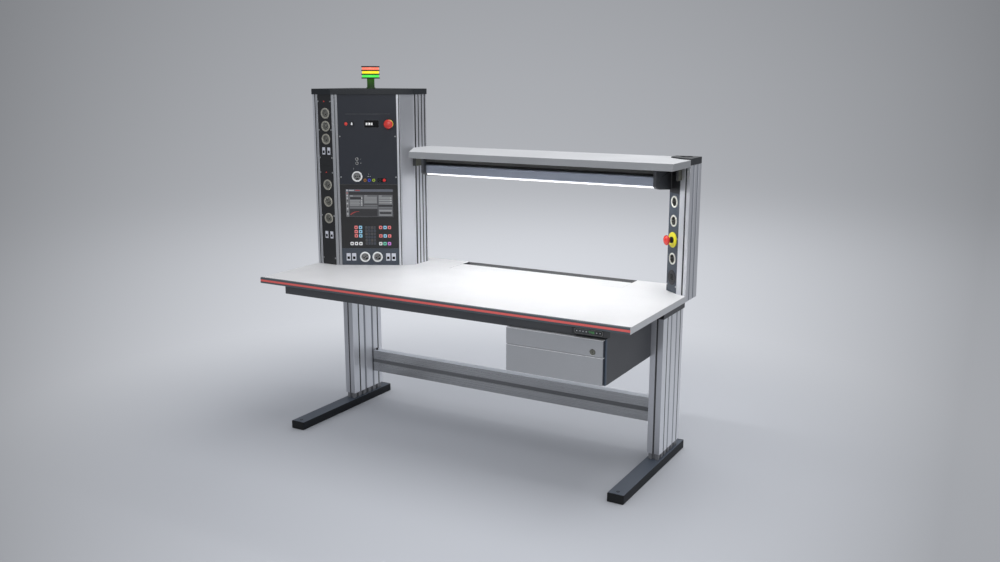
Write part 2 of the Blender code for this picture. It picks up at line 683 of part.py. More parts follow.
side_outline += [(tower_right, tower_back), (tower_right - SIDE_PROFILE_DEPTH, tower_back),
                 (tower_right - SIDE_PROFILE_DEPTH, side_turn.y + PROFILE_BACK),
                 tuple(side_start + face_in * PROFILE_BACK)]
side_bore = rectangle((tower_right - SIDE_PROFILE_DEPTH, side_turn.y + PROFILE_BACK),
                      (tower_right - SLOT_DEPTH, tower_back), SIDE_WALL)
place(prism_mesh(side_outline, TOWER_BOTTOM, TOWER_TOP, holes=(side_bore,)), "tower_side_profile", ANODISED)

# Sheet cover on the left and the back
cover_front = tower_front + CORNER_DEPTH + SEAT_GAP
cover_right = tower_right - SIDE_PROFILE_DEPTH - SEAT_GAP
cover_outline = [(tower_left, cover_front), (tower_left + COVER_THICKNESS, cover_front),
                 (tower_left + COVER_THICKNESS, tower_back - COVER_THICKNESS),
                 (cover_right, tower_back - COVER_THICKNESS), (cover_right, tower_back),
                 (tower_left, tower_back)]
place(prism_mesh(cover_outline, TOWER_BOTTOM, TOWER_TOP), "tower_cover", GRAPHITE)

# Top plate over the tower
plate_front = tower_front - TOWER_PLATE_OVERHANG
plate_right = tower_right + TOWER_PLATE_OVERHANG
plate_back = tower_back + TOWER_PLATE_OVERHANG
plate_outline = [(tower_left - TOWER_PLATE_OVERHANG, plate_front), (bend.x, plate_front),
                 tuple(side_lip - face_in * TOWER_PLATE_OVERHANG), (plate_right, side_turn.y),
                 (plate_right, plate_back), (tower_left - TOWER_PLATE_OVERHANG, plate_back)]
plate_bottom = TOWER_TOP + SEAT_GAP
plate_top = plate_bottom + TOWER_PLATE_THICKNESS
place(prism_mesh(plate_outline, plate_bottom, plate_top), "tower_top_plate", ANTHRACITE)

# Power supply standing inside the tower
supply_left = tower_left + COVER_THICKNESS + SUPPLY_MARGIN
supply_back = tower_back - COVER_THICKNESS - SUPPLY_MARGIN
supply_low = Vector((supply_left, supply_back - SUPPLY_DEPTH, TOWER_BOTTOM))
supply_high = supply_low + Vector((SUPPLY_WIDTH, SUPPLY_DEPTH, SUPPLY_HEIGHT))
supply_wall = Vector((SUPPLY_WALL, SUPPLY_WALL, SUPPLY_WALL))
supply = place(block_mesh(supply_low, supply_high), "power_supply", STEEL)
supply_floor = Vector((SUPPLY_WALL, SUPPLY_WALL, -CUT_OVERRUN))
cut(supply, block_mesh(supply_low + supply_floor, supply_high - supply_wall))

# Panels of the turned face, in the face's own frame: X along it, Y into the tower, Z up from the desk
face = frame_at("tower_face", (bend.x, bend.y, DESK_HEIGHT), (0, 0, FACE_TURN))
panel_left = MIDDLE_WIDTH + SEAT_GAP
panel_right = MIDDLE_WIDTH + PANEL_WIDTH - SEAT_GAP
screen_panel_bottom = OUTLET_PANEL_HEIGHT + SEAT_GAP
screen_panel_top = OUTLET_PANEL_HEIGHT + SCREEN_PANEL_HEIGHT
supply_panel_bottom = screen_panel_top + SEAT_GAP
outlet_panel = place(block_mesh((panel_left, PANEL_RECESS, SEAT_GAP),
                                (panel_right, PANEL_RECESS + UNIT_DEPTH, OUTLET_PANEL_HEIGHT)),
                     "outlet_panel", ANTHRACITE, face)
for inset in OUTLET_INSETS:
    cut(outlet_panel, rod_mesh(SOCKET_RADIUS, PANEL_RECESS - CUT_OVERRUN, PANEL_RECESS + SOCKET_DEPTH, "Y",
                               (MIDDLE_WIDTH + inset, OUTLET_RISE), SOCKET_SIDES))
screen_panel = place(block_mesh((panel_left, PANEL_RECESS, screen_panel_bottom),
                                (panel_right, PANEL_RECESS + PANEL_THICKNESS, screen_panel_top)),
                     "screen_panel", GRAPHITE, face)
screen_left = MIDDLE_WIDTH + SCREEN_LEFT
screen_low = screen_panel_bottom + SCREEN_RISE
cut(screen_panel, block_mesh((screen_left, PANEL_RECESS - CUT_OVERRUN, screen_low),
                             (screen_left + SCREEN_WIDTH, PANEL_RECESS + PANEL_THICKNESS + CUT_OVERRUN,
                              screen_low + SCREEN_HEIGHT)))
place(block_mesh((screen_left + SEAT_GAP, PANEL_RECESS - SCREEN_PROUD, screen_low + SEAT_GAP),
                 (screen_left + SCREEN_WIDTH - SEAT_GAP, PANEL_RECESS - SCREEN_PROUD + SCREEN_DEPTH,
                  screen_low + SCREEN_HEIGHT - SEAT_GAP)),
      "touch_screen", SCREEN_GLASS, face)
supply_panel = place(block_mesh((panel_left, PANEL_RECESS, supply_panel_bottom),
                                (panel_right, PANEL_RECESS + PANEL_THICKNESS, TOWER_HEIGHT)),
                     "supply_panel", GRAPHITE, face)
socket_x = MIDDLE_WIDTH + PANEL_SOCKET_INSET
socket_z = supply_panel_bottom + PANEL_SOCKET_RISE
join(supply_panel, block_mesh((socket_x - SOCKET_HOUSING / 2, PANEL_RECESS + PANEL_THICKNESS - WELD_OVERLAP,
                               socket_z - SOCKET_HOUSING / 2),
                              (socket_x + SOCKET_HOUSING / 2, PANEL_RECESS + UNIT_DEPTH,
                               socket_z + SOCKET_HOUSING / 2)))
cut(supply_panel, rod_mesh(SOCKET_RADIUS, PANEL_RECESS - CUT_OVERRUN, PANEL_RECESS + SOCKET_DEPTH, "Y",
                           (socket_x, socket_z), SOCKET_SIDES))
control_z = TOWER_HEIGHT - CONTROL_DROP
stop_x = MIDDLE_WIDTH + TOWER_STOP_INSET
key_x = MIDDLE_WIDTH + KEY_INSET
for spot_x, radius in ((stop_x, STEM_RADIUS), (key_x, KEY_SHAFT_RADIUS)):
    cut(supply_panel, rod_mesh(radius + RUNNING_GAP, PANEL_RECESS - CUT_OVERRUN,
                               PANEL_RECESS + PANEL_THICKNESS + CUT_OVERRUN, "Y", (spot_x, control_z)))

# Key switch: its shaft runs through the panel, and it turns about its own local Z, which points out
OUT_OF_FACE = (math.radians(90), 0, 0)
key_switch = turned("key_switch", [(0, KEY_PROUD), (KEY_RADIUS, KEY_PROUD), (KEY_RADIUS, SEAT_GAP),
                                   (KEY_SHAFT_RADIUS, SEAT_GAP),
                                   (KEY_SHAFT_RADIUS, -PANEL_THICKNESS), (0, -PANEL_THICKNESS)],
                    BLACK_PLASTIC, face, (key_x, PANEL_RECESS, control_z), OUT_OF_FACE)
join(key_switch, block_mesh((-KEY_BAR_WIDTH / 2, -KEY_RADIUS + WELD_OVERLAP, KEY_PROUD - WELD_OVERLAP),
                            (KEY_BAR_WIDTH / 2, KEY_RADIUS - WELD_OVERLAP, KEY_PROUD + KEY_BAR_HEIGHT)))


def stop_button(word, carrier, spot, collar_radius):
    """Emergency stop: a collar on the panel, a stem that slides in and a head that twists on it."""
    hole = STEM_RADIUS + RUNNING_GAP
    turned(word + "_stop_collar", [(hole, COLLAR_THICKNESS), (collar_radius, COLLAR_THICKNESS),
                                   (collar_radius, SEAT_GAP), (hole, SEAT_GAP)],
           SIGNAL_YELLOW, carrier, spot, OUT_OF_FACE, closed=True)
    turned(word + "_stop_stem", [(0, STEM_PROUD), (STEM_RADIUS, STEM_PROUD),
                                 (STEM_RADIUS, -STEM_SUNK), (0, -STEM_SUNK)],
           BLACK_PLASTIC, carrier, spot, OUT_OF_FACE)
    base = STEM_PROUD + SEAT_GAP
    crown, high, low = (base + STOP_HEAD_HEIGHT * share for share in STOP_HEAD_SHARES)
    turned(word + "_stop_head", [(0, base + STOP_HEAD_HEIGHT), (STOP_HEAD_RADIUS * STOP_CROWN_SHARE, crown),
                                 (STOP_HEAD_RADIUS, high), (STOP_HEAD_RADIUS, low),
                                 (STOP_NECK_RADIUS, base), (0, base)],
           SIGNAL_RED, carrier, spot, OUT_OF_FACE)


stop_button("tower", face, (stop_x, PANEL_RECESS, control_z), TOWER_COLLAR_RADIUS)

# Signal light: pole and discs are one turning, with a lens ring between each pair of discs
signal_x = tower_left + SIGNAL_INSET
signal_y = tower_back - SIGNAL_BACK
tower_light = [(POLE_RADIUS, 0), (0, 0)]
level = POLE_HEIGHT
rings = [(POLE_RADIUS, level)]
for tier in range(len(LENS_NAMES) + 1):
    rings += [(TIER_DISC_RADIUS, level), (TIER_DISC_RADIUS, level + TIER_DISC_HEIGHT)]
    if tier < len(LENS_NAMES):
        rings += [(TIER_CORE_RADIUS, level + TIER_DISC_HEIGHT), (TIER_CORE_RADIUS, level + TIER_PITCH)]
    level += TIER_PITCH
rings.append((0, rings[-1][1]))
turned("signal_pole", list(reversed(rings)) + tower_light, BLACK_PLASTIC, None,
       (signal_x, signal_y, plate_top + SEAT_GAP))
for tier, word in enumerate(LENS_NAMES):
    low = POLE_HEIGHT + tier * TIER_PITCH + TIER_DISC_HEIGHT + SEAT_GAP
    high = POLE_HEIGHT + (tier + 1) * TIER_PITCH - SEAT_GAP
    inner = TIER_CORE_RADIUS + SEAT_GAP
    turned("signal_lens_" + word, [(inner, high), (LENS_RADIUS, high), (LENS_RADIUS, low), (inner, low)],
           (SIGNAL_GREEN, SIGNAL_YELLOW, SIGNAL_RED)[tier], None,
           (signal_x, signal_y, plate_top + SEAT_GAP), closed=True)

# Post profile: it stands on the side beam and holds the socket panel in a channel
channel = UNIT_DEPTH + 2 * SEAT_GAP
panel_edge = post_corner + panel_way * SEAT_GAP
post_outline = slotted(panel_edge, post_edge, POST_SLOT_SHARES, FRONT_SLOT_WIDTH, SLOT_DEPTH)
post_outline += slotted(post_edge, (RIGHT, post_back), POST_FLUTE_SHARES, POST_FLUTE_WIDTH, FLUTE_DEPTH)
post_outline += [(RIGHT, post_back), (post_left, post_back),
                 (post_left, (post_start + panel_in * channel).y),
                 tuple(post_start + panel_in * channel), tuple(panel_edge + panel_in * channel)]
post_top = DESK_HEIGHT + POST_HEIGHT
bore_start = post_start + panel_in * (channel + POST_WALL)
bore_end = bore_start + panel_way * POST_PANEL_WIDTH
bore_right = RIGHT - POST_WALL
post_bore = [tuple(bore_start), tuple(bore_end), (bore_right, bore_end.y),
             (bore_right, post_back - POST_WALL), (post_left + POST_WALL, post_back - POST_WALL)]
place(prism_mesh(post_outline, DESK_UNDER, post_top, holes=(post_bore,)), "post_profile", ANODISED)
cap_outline = [tuple(post_start), tuple(post_corner), tuple(post_edge)]
cap_outline += [(RIGHT, post_back), (post_left, post_back)]
cap_bottom = post_top + SEAT_GAP
cap_top = cap_bottom + POST_CAP_HEIGHT
post_cap = place(prism_mesh(cap_outline, cap_bottom, cap_top), "post_cap", ANTHRACITE)
dish_spot = ((post_left + RIGHT) / 2, (post_start.y + post_back) / 2)
cut(post_cap, rod_mesh(CAP_DISH_RADIUS, cap_top - CAP_DISH_DEPTH, cap_top + CUT_OVERRUN, "Z", dish_spot))
post_face = frame_at("post_face", (post_start.x, post_start.y, DESK_HEIGHT), (0, 0, POST_TURN))
panel_top = SHELF_CLEARANCE - SEAT_GAP
post_panel = place(block_mesh((0, 0, SEAT_GAP), (POST_PANEL_WIDTH, UNIT_DEPTH, panel_top)),
                   "post_panel", ANTHRACITE, post_face)
panel_middle = POST_PANEL_WIDTH / 2
for number in POST_SOCKET_PLACES:
    cut(post_panel, rod_mesh(SOCKET_RADIUS, -CUT_OVERRUN, SOCKET_DEPTH, "Y",
                             (panel_middle, POST_SOCKET_RISE + number * POST_SOCKET_PITCH), SOCKET_SIDES))
stop_z = POST_SOCKET_RISE + POST_STOP_PLACE * POST_SOCKET_PITCH
cut(post_panel, rod_mesh(STEM_RADIUS + RUNNING_GAP, -CUT_OVERRUN, STEM_SUNK + STOP_TRAVEL + RUNNING_GAP, "Y",
                         (panel_middle, stop_z)))
stop_button("post", post_face, (panel_middle, 0, stop_z), POST_COLLAR_RADIUS)

# Shelf between the tower and the post, its left end square to the turned face
shelf_back = REAR - SHELF_BACK_GAP
shelf_front = shelf_back - SHELF_DEPTH
shelf_outline = [(LEFT + SHELF_LEFT, shelf_front), (RIGHT, shelf_front), (RIGHT, post_edge.y - RUNNING_GAP),
                 (post_corner.x - RUNNING_GAP, post_corner.y - RUNNING_GAP),
                 (post_left - RUNNING_GAP, post_start.y - RUNNING_GAP),
                 (post_left - RUNNING_GAP, shelf_back), (tower_right + RUNNING_GAP, shelf_back),
                 (tower_right + RUNNING_GAP, side_turn.y)]
place(prism_mesh(shelf_outline, SHELF_UNDER, SHELF_TOP), "shelf", BOARD_EDGE)
bracket_top = SHELF_UNDER - SEAT_GAP
bracket_low = bracket_top - SHELF_BRACKET_DROP
bracket_left = tower_right + SEAT_GAP
bracket_front = side_turn.y - SHELF_BRACKET_LEAD
place(block_mesh((bracket_left, bracket_front, bracket_low),
                 (bracket_left + SHELF_BRACKET_WIDTH, bracket_front + SHELF_BRACKET_DEPTH, bracket_top)),
      "shelf_bracket_left", CAST_ZINC)
facet_way = (post_edge - post_corner).normalized()
hug = [post_corner + facet_way * POST_BRACKET_GRIP[0], post_corner,
       post_corner - panel_way * POST_BRACKET_GRIP[1]]
hug_front = post_corner.y - SHELF_BRACKET_DEPTH
right_outline = [(point.x, point.y - 2 * SEAT_GAP) for point in hug]
right_outline += [(hug[2].x, hug_front), (hug[0].x, hug_front)]
place(prism_mesh(right_outline, bracket_low, bracket_top), "shelf_bracket_right", CAST_ZINC)

# Lamp: housing, diffuser and ends turn together on two pins in the lamp brackets
lamp_left = LEFT + LAMP_LEFT
lamp_right = RIGHT - LAMP_RIGHT
pivot_y = shelf_front + LAMP_INSET + LAMP_DEPTH / 2
pivot_z = SHELF_UNDER - LAMP_DROP + LAMP_HEIGHT / 2
half_depth = LAMP_DEPTH / 2
half_height = LAMP_HEIGHT / 2
lamp_section = chamfered((-half_depth, -half_height), (half_depth, half_height), LAMP_CHAMFER)
lamp_middle = (lamp_left + lamp_right) / 2
lamp_half = (lamp_right - lamp_left) / 2
lamp_axis = (lamp_middle, pivot_y, pivot_z)
lamp_bore = rectangle((-half_depth, -half_height), (half_depth, half_height), LAMP_CHAMFER)
place(prism_mesh(lamp_section, -lamp_half, lamp_half, "X", holes=(lamp_bore,)), "lamp_housing",
      LAMP_ALUMINIUM, at=lamp_axis)
lens_section = chamfered((-DIFFUSER_DEPTH / 2, -half_height - SEAT_GAP - DIFFUSER_HEIGHT),
                         (DIFFUSER_DEPTH / 2, -half_height - SEAT_GAP), DIFFUSER_CHAMFER)
place(prism_mesh(lens_section, -lamp_half, lamp_half, "X"), "lamp_diffuser", OPAL, at=lamp_axis)
end_near = lamp_half + SEAT_GAP
end_far = end_near + LAMP_END_THICKNESS
for side, word in ((-1, "left"), (1, "right")):
    reach_x = sorted((side * end_near, side * end_far))
    end = place(prism_mesh(lamp_section, reach_x[0], reach_x[1], "X"), "lamp_end_" + word, BLACK_PLASTIC,
                at=lamp_axis)
    pin_x = sorted((side * (end_far - WELD_OVERLAP), side * (end_far + PIN_LENGTH)))
    join(end, rod_mesh(PIN_RADIUS, pin_x[0], pin_x[1], "X"))
    plate_x = sorted((side * (end_far + SEAT_GAP), side * (end_far + SEAT_GAP + BRACKET_THICKNESS)))
    nose_y = shelf_front + BRACKET_INSET
    rear_y = nose_y + BRACKET_DEPTH
    nose_z = SHELF_UNDER - BRACKET_NOSE_DROP
    rear_z = SHELF_UNDER - BRACKET_DROP
    turn_z = nose_z - (nose_z - rear_z) * BRACKET_TURN_SHARE
    soft_y = nose_y + BRACKET_NOSE_DEPTH * BRACKET_NOSE_SHARES[0]
    soft_z = nose_z - (nose_z - rear_z) * BRACKET_NOSE_SHARES[1]
    side_view = [(nose_y, bracket_top), (nose_y, nose_z), (soft_y, soft_z),
                 (nose_y + BRACKET_NOSE_DEPTH, turn_z), (rear_y, rear_z), (rear_y, bracket_top)]
    bracket = place(prism_mesh(side_view, lamp_middle + plate_x[0], lamp_middle + plate_x[1], "X"),
                    "lamp_bracket_" + word, BLACK_PLASTIC)
    cut(bracket, rod_mesh(PIN_RADIUS + RUNNING_GAP, lamp_middle + plate_x[0] - CUT_OVERRUN,
                          lamp_middle + plate_x[1] + CUT_OVERRUN, "X", (pivot_y, pivot_z)))

# Rail under the shelf: a bent sheet that shades the lamp from above and behind
rail_front = shelf_front + RAIL_INSET
rail_back = rail_front + RAIL_DEPTH
rail_outline = [(rail_front, bracket_top), (rail_front, bracket_top - RAIL_LIP),
                (rail_front + RAIL_SHEET, bracket_top - RAIL_LIP),
                (rail_front + RAIL_SHEET, bracket_top - RAIL_SHEET),
                (rail_back - RAIL_SHEET, bracket_top - RAIL_SHEET),
                (rail_back - RAIL_SHEET, bracket_top - RAIL_WEB),
                (rail_back, bracket_top - RAIL_WEB), (rail_back, bracket_top)]
place(prism_mesh(rail_outline, lamp_middle - end_far, lamp_middle + end_far, "X"),
      "lamp_rail", BLACK_PLASTIC)

# Drawer cabinet under the desk top, in front of the right leg, with a closed rail over the drawers
drawer_low = DESK_UNDER - DRAWER_BOTTOM_DROP
drawer_seam = DESK_UNDER - DRAWER_SEAM_DROP
drawer_high = DESK_UNDER - DRAWER_TOP_DROP
front_right = cabinet_right - CABINET_EDGE
cabinet_low = drawer_low - CABINET_DROP
cabinet = place(block_mesh((cabinet_left, cabinet_front, cabinet_low),
                           (cabinet_right, cabinet_back, BEAM_TOP)), "cabinet", GRAPHITE)
inner_left = cabinet_left + CABINET_WALL
inner_right = cabinet_right - CABINET_WALL
inner_high = drawer_high + RAIL_GAP
cut(cabinet, block_mesh((inner_left, cabinet_front - CUT_OVERRUN, cabinet_low + CABINET_WALL),
                        (inner_right, cabinet_back - CABINET_WALL, inner_high)))
cut(cabinet, block_mesh((inner_left, cabinet_front + CABINET_WALL, inner_high + CABINET_WALL),
                        (inner_right, cabinet_back + CUT_OVERRUN, BEAM_TOP - CABINET_WALL)))
tray_left = inner_left + RUNNER_DEPTH + RUNNING_GAP
tray_right = inner_right - RUNNER_DEPTH - RUNNING_GAP


def drawer(word, low, high, tray_height):
    """A drawer front, its tray behind and the pair of runners on the cabinet walls."""
    front = place(block_mesh((cabinet_left, cabinet_front - FRONT_THICKNESS - SEAT_GAP, low),
                             (front_right, cabinet_front - SEAT_GAP, high)),
                  "drawer_front_" + word, GREY_FRONT)
    tray_low = low + TRAY_RISE
    tray_high = tray_low + tray_height
    tray = place(block_mesh((tray_left, cabinet_front, tray_low),
                            (tray_right, cabinet_front + DRAWER_TRAY_LENGTH, tray_high)),
                 "drawer_tray_" + word, GRAPHITE)
    cut(tray, block_mesh((tray_left + TRAY_BOARD, cabinet_front + TRAY_BOARD, tray_low + TRAY_BOARD),
                         (tray_right - TRAY_BOARD, cabinet_front + DRAWER_TRAY_LENGTH - TRAY_BOARD,
                          tray_high + CUT_OVERRUN)))
    runner_low = (tray_low + tray_high - RUNNER_HEIGHT) / 2
    for wall, inward in ((inner_left, 1), (inner_right, -1)):
        span = sorted((wall - inward * WELD_OVERLAP, wall + inward * RUNNER_DEPTH))
        join(cabinet, block_mesh((span[0], cabinet_front + RUNNER_MARGIN, runner_low),
                                 (span[1], cabinet_back - RUNNER_MARGIN, runner_low + RUNNER_HEIGHT)))
    return front


drawer("lower", drawer_low, drawer_seam - DRAWER_SEAM, LOWER_TRAY_HEIGHT)
upper_front = drawer("upper", drawer_seam, drawer_high, UPPER_TRAY_HEIGHT)
lock_spot = (front_right - LOCK_INSET, drawer_seam + LOCK_RISE)
front_face = cabinet_front - FRONT_THICKNESS - SEAT_GAP
cut(upper_front, rod_mesh(LOCK_RADIUS + RUNNING_GAP, front_face - CUT_OVERRUN,
                          cabinet_front + CUT_OVERRUN, "Y", lock_spot))
place(rod_mesh(LOCK_RADIUS, -LOCK_PROUD, FRONT_THICKNESS - SEAT_GAP, "Y"), "drawer_lock", STEEL,
      at=(lock_spot[0], front_face, lock_spot[1]))

# Handset for the height drive, a wedge under the desk edge with two push keys, let into the cabinet's corner
handset_right = front_right + HANDSET_OVERHANG
handset_left = handset_right - HANDSET_WIDTH
handset_front = FRONT + HANDSET_SETBACK
handset_back = handset_front + HANDSET_DEPTH
handset_outline = [(handset_front, BEAM_TOP), (handset_front, BEAM_TOP - HANDSET_FRONT_HEIGHT),
                   (handset_back, BEAM_TOP - HANDSET_REAR_HEIGHT), (handset_back, BEAM_TOP)]
handset = place(prism_mesh(handset_outline, handset_left, handset_right, "X"), "handset", BLACK_PLASTIC)
cut(cabinet, block_mesh((handset_left - SEAT_GAP, cabinet_front - CUT_OVERRUN,
                         BEAM_TOP - HANDSET_REAR_HEIGHT - SEAT_GAP),
                        (handset_right + SEAT_GAP, handset_back + SEAT_GAP, BEAM_TOP + CUT_OVERRUN)))
for word, inset in KEYCAP_INSETS.items():
    key_spot = (handset_right - inset, handset_front, BEAM_TOP - HANDSET_FRONT_HEIGHT + KEYCAP_RISE)
    half_width = KEYCAP_WIDTH / 2
    half_tall = KEYCAP_HEIGHT / 2
    pocket = KEYCAP_DEPTH - KEYCAP_PROUD + KEYCAP_TRAVEL + SEAT_GAP
    cut(handset, block_mesh((key_spot[0] - half_width - SEAT_GAP, handset_front - CUT_OVERRUN,
                             key_spot[2] - half_tall - SEAT_GAP),
                            (key_spot[0] + half_width + SEAT_GAP, handset_front + pocket,
                             key_spot[2] + half_tall + SEAT_GAP)))
    place(block_mesh((-half_width, -KEYCAP_PROUD, -half_tall),
                     (half_width, KEYCAP_DEPTH - KEYCAP_PROUD, half_tall)),
          word, BLACK_PLASTIC, at=key_spot)
bpy.context.view_layer.update()
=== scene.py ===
import math

import bmesh
import bpy
from mathutils import Matrix, Vector


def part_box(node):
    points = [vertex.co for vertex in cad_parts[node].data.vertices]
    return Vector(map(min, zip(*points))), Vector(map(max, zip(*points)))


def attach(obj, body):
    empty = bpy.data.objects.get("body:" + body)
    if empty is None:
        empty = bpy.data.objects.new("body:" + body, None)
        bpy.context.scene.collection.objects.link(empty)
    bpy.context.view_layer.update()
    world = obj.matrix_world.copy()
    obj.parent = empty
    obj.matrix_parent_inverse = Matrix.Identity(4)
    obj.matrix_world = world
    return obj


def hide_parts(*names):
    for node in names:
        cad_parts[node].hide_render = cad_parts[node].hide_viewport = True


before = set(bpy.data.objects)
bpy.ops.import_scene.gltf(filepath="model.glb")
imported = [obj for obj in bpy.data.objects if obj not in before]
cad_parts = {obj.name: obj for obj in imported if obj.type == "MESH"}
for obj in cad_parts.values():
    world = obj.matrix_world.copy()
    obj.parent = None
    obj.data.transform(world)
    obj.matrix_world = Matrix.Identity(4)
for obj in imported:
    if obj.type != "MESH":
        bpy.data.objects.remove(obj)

scene = bpy.context.scene
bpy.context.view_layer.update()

# Camera
# The bench is seen from its right at standing height, from about four metres away. The lens
# and the place were fitted to the edges of the desk, tower and shelf.
CAMERA_PLACE = (2.1885, -3.5773, 1.6426)
CAMERA_TILT = math.radians(77.99)
CAMERA_TURN = math.radians(29.99)
CAMERA_LENS = 34.84


def standing(name, data):
    """An object put in the scene."""
    made = bpy.data.objects.new(name, data)
    scene.collection.objects.link(made)
    return made


camera_data = bpy.data.cameras.new("camera")
camera_data.lens = CAMERA_LENS
camera_data.sensor_width = 36.0
camera_data.clip_end = 300.0
camera = standing("camera", camera_data)
camera.location = CAMERA_PLACE
camera.rotation_euler = (CAMERA_TILT, 0, CAMERA_TURN)
scene.camera = camera
scene.view_settings.view_transform = "Standard"

# Studio
# A seamless grey floor runs into a grey backdrop. A large soft box above the bench and the
# even light of the room light it. The picture's sides fall off into painted shade, and the far
# floor glows with painted light, brighter near the bench and in a spot behind it.
STUDIO_TINT = (0.962, 0.992, 1.058)
SHADE_SPREAD = 0.515
SHADE_DEPTH = 0.40
SHADE_LEAST = 0.60
SHADE_BEHIND = -0.5
WIDTH_LEAST = 0.36
WIDTH_RISE = 0.24
ROOM_LIGHT = (0.49, 0.50, 0.52, 1.0)
HORIZON_LEVEL = 0.41
UPWARD_FALL = 0.5
UPWARD_LEAST = 0.30
FLOOR_RADIUS = 120.0
FLOOR_DROP = 0.0003
FLOOR_ALBEDO = 0.645
FLOOR_START = 2.2
FAR_FLOOR = (1.1, 2.5)
GLOW_GAIN = 0.63
GLOW_OFFSET = 1.07
GLOW_SPOT = (-1.45, 3.85, 0.0)
GLOW_SPOT_LEVEL = 0.178
GLOW_SPOT_SPREAD = 4.0


def add_node(tree, kind, inputs=None, **settings):
    """One node with its settings; an input is given as a number or as the output it is fed by."""
    made = tree.nodes.new(kind)
    for key, value in settings.items():
        setattr(made, key, value)
    for key, value in (inputs or {}).items():
        if isinstance(value, bpy.types.NodeSocket):
            tree.links.new(value, made.inputs[key])
        else:
            made.inputs[key].default_value = value
    return made


def math_of(tree, operation, first, second=0.0, third=0.0):
    """The output of a Math node."""
    return add_node(tree, "ShaderNodeMath", {0: first, 1: second, 2: third}, operation=operation).outputs[0]


def vector_of(tree, operation, first, second=(0.0, 0.0, 0.0)):
    """The output of a Vector Math node, a number where the operation gives one."""
    told = add_node(tree, "ShaderNodeVectorMath", {0: first, 1: second}, operation=operation).outputs
    return told["Value" if operation in ("DOT_PRODUCT", "LENGTH", "DISTANCE") else "Vector"]


def step_of(tree, value, low, high, low_out=0.0, high_out=1.0, way="SMOOTHSTEP"):
    """A value that goes from one number to another, smoothly or straight."""
    return add_node(tree, "ShaderNodeMapRange", {"Value": value, "From Min": low, "From Max": high,
                                                 "To Min": low_out, "To Max": high_out},
                    interpolation_type=way).outputs["Result"]


def place_of(tree):
    """Where a point is on its object."""
    return add_node(tree, "ShaderNodeTexCoord").outputs["Object"]


def new_group(name, inputs, outputs):
    """A shader node group with named sockets."""
    group = bpy.data.node_groups.new(name, "ShaderNodeTree")
    for way, sockets in (("INPUT", inputs), ("OUTPUT", outputs)):
        for label, kind, *value in sockets:
            made = group.interface.new_socket(label, in_out=way, socket_type="NodeSocket" + kind)
            if value:
                made.default_value = value[0]
    return group, group.nodes.new("NodeGroupInput").outputs, group.nodes.new("NodeGroupOutput").inputs


SIDE_SHADE, given, told = new_group("side_shade", [("Way", "Vector"), ("Start", "Float", 0.0)],
                                    [("Shade", "Float")])
tree = SIDE_SHADE
ahead = vector_of(tree, "DOT_PRODUCT", given["Way"], (-math.sin(CAMERA_TURN), math.cos(CAMERA_TURN), 0.0))
aside = vector_of(tree, "DOT_PRODUCT", given["Way"], (math.cos(CAMERA_TURN), math.sin(CAMERA_TURN), 0.0))
width = math_of(tree, "MULTIPLY_ADD", ahead, SHADE_SPREAD, given["Start"])
least = math_of(tree, "MULTIPLY_ADD", given["Start"], WIDTH_RISE, WIDTH_LEAST)
in_front = step_of(tree, width, SHADE_BEHIND, least)
ratio = math_of(tree, "DIVIDE", aside, math_of(tree, "MAXIMUM", width, least))
fall = math_of(tree, "MULTIPLY", math_of(tree, "MULTIPLY", ratio, ratio), -SHADE_DEPTH)
fall = math_of(tree, "MAXIMUM", fall, SHADE_LEAST - 1.0)
tree.links.new(math_of(tree, "MULTIPLY_ADD", fall, in_front, 1.0), told["Shade"])


def tinted(tree, level):
    return vector_of(tree, "MULTIPLY", STUDIO_TINT, level)


def side_shade(tree, way, start):
    made = add_node(tree, "ShaderNodeGroup", {"Way": way, "Start": start}, node_tree=SIDE_SHADE)
    return made.outputs["Shade"]


world = bpy.data.worlds.new("studio")
world.use_nodes = True
scene.world = world
tree = world.node_tree
tree.nodes.clear()
rays = add_node(tree, "ShaderNodeLightPath").outputs
seen = math_of(tree, "MAXIMUM", rays["Is Camera Ray"],
               math_of(tree, "MAXIMUM", rays["Is Glossy Ray"], rays["Is Transmission Ray"]))
way = add_node(tree, "ShaderNodeTexCoord").outputs["Generated"]
rise = add_node(tree, "ShaderNodeSeparateXYZ", {0: way}).outputs["Z"]
level = math_of(tree, "MULTIPLY_ADD", rise, -UPWARD_FALL, HORIZON_LEVEL)
level = math_of(tree, "MAXIMUM", level, UPWARD_LEAST)
level = math_of(tree, "MULTIPLY", level, side_shade(tree, way, 0.0))
seen_light = add_node(tree, "ShaderNodeBackground", {"Color": tinted(tree, level), "Strength": 1.0})
room_light = add_node(tree, "ShaderNodeBackground", {"Color": ROOM_LIGHT, "Strength": 1.0})
mixed = add_node(tree, "ShaderNodeMixShader", {0: seen, 1: room_light.outputs[0], 2: seen_light.outputs[0]})
add_node(tree, "ShaderNodeOutputWorld", {"Surface": mixed.outputs[0]})


def filled(work):
    """A mesh from a bmesh, which is freed."""
    made = bpy.data.meshes.new("filled")
    work.to_mesh(made)
    work.free()
    return made


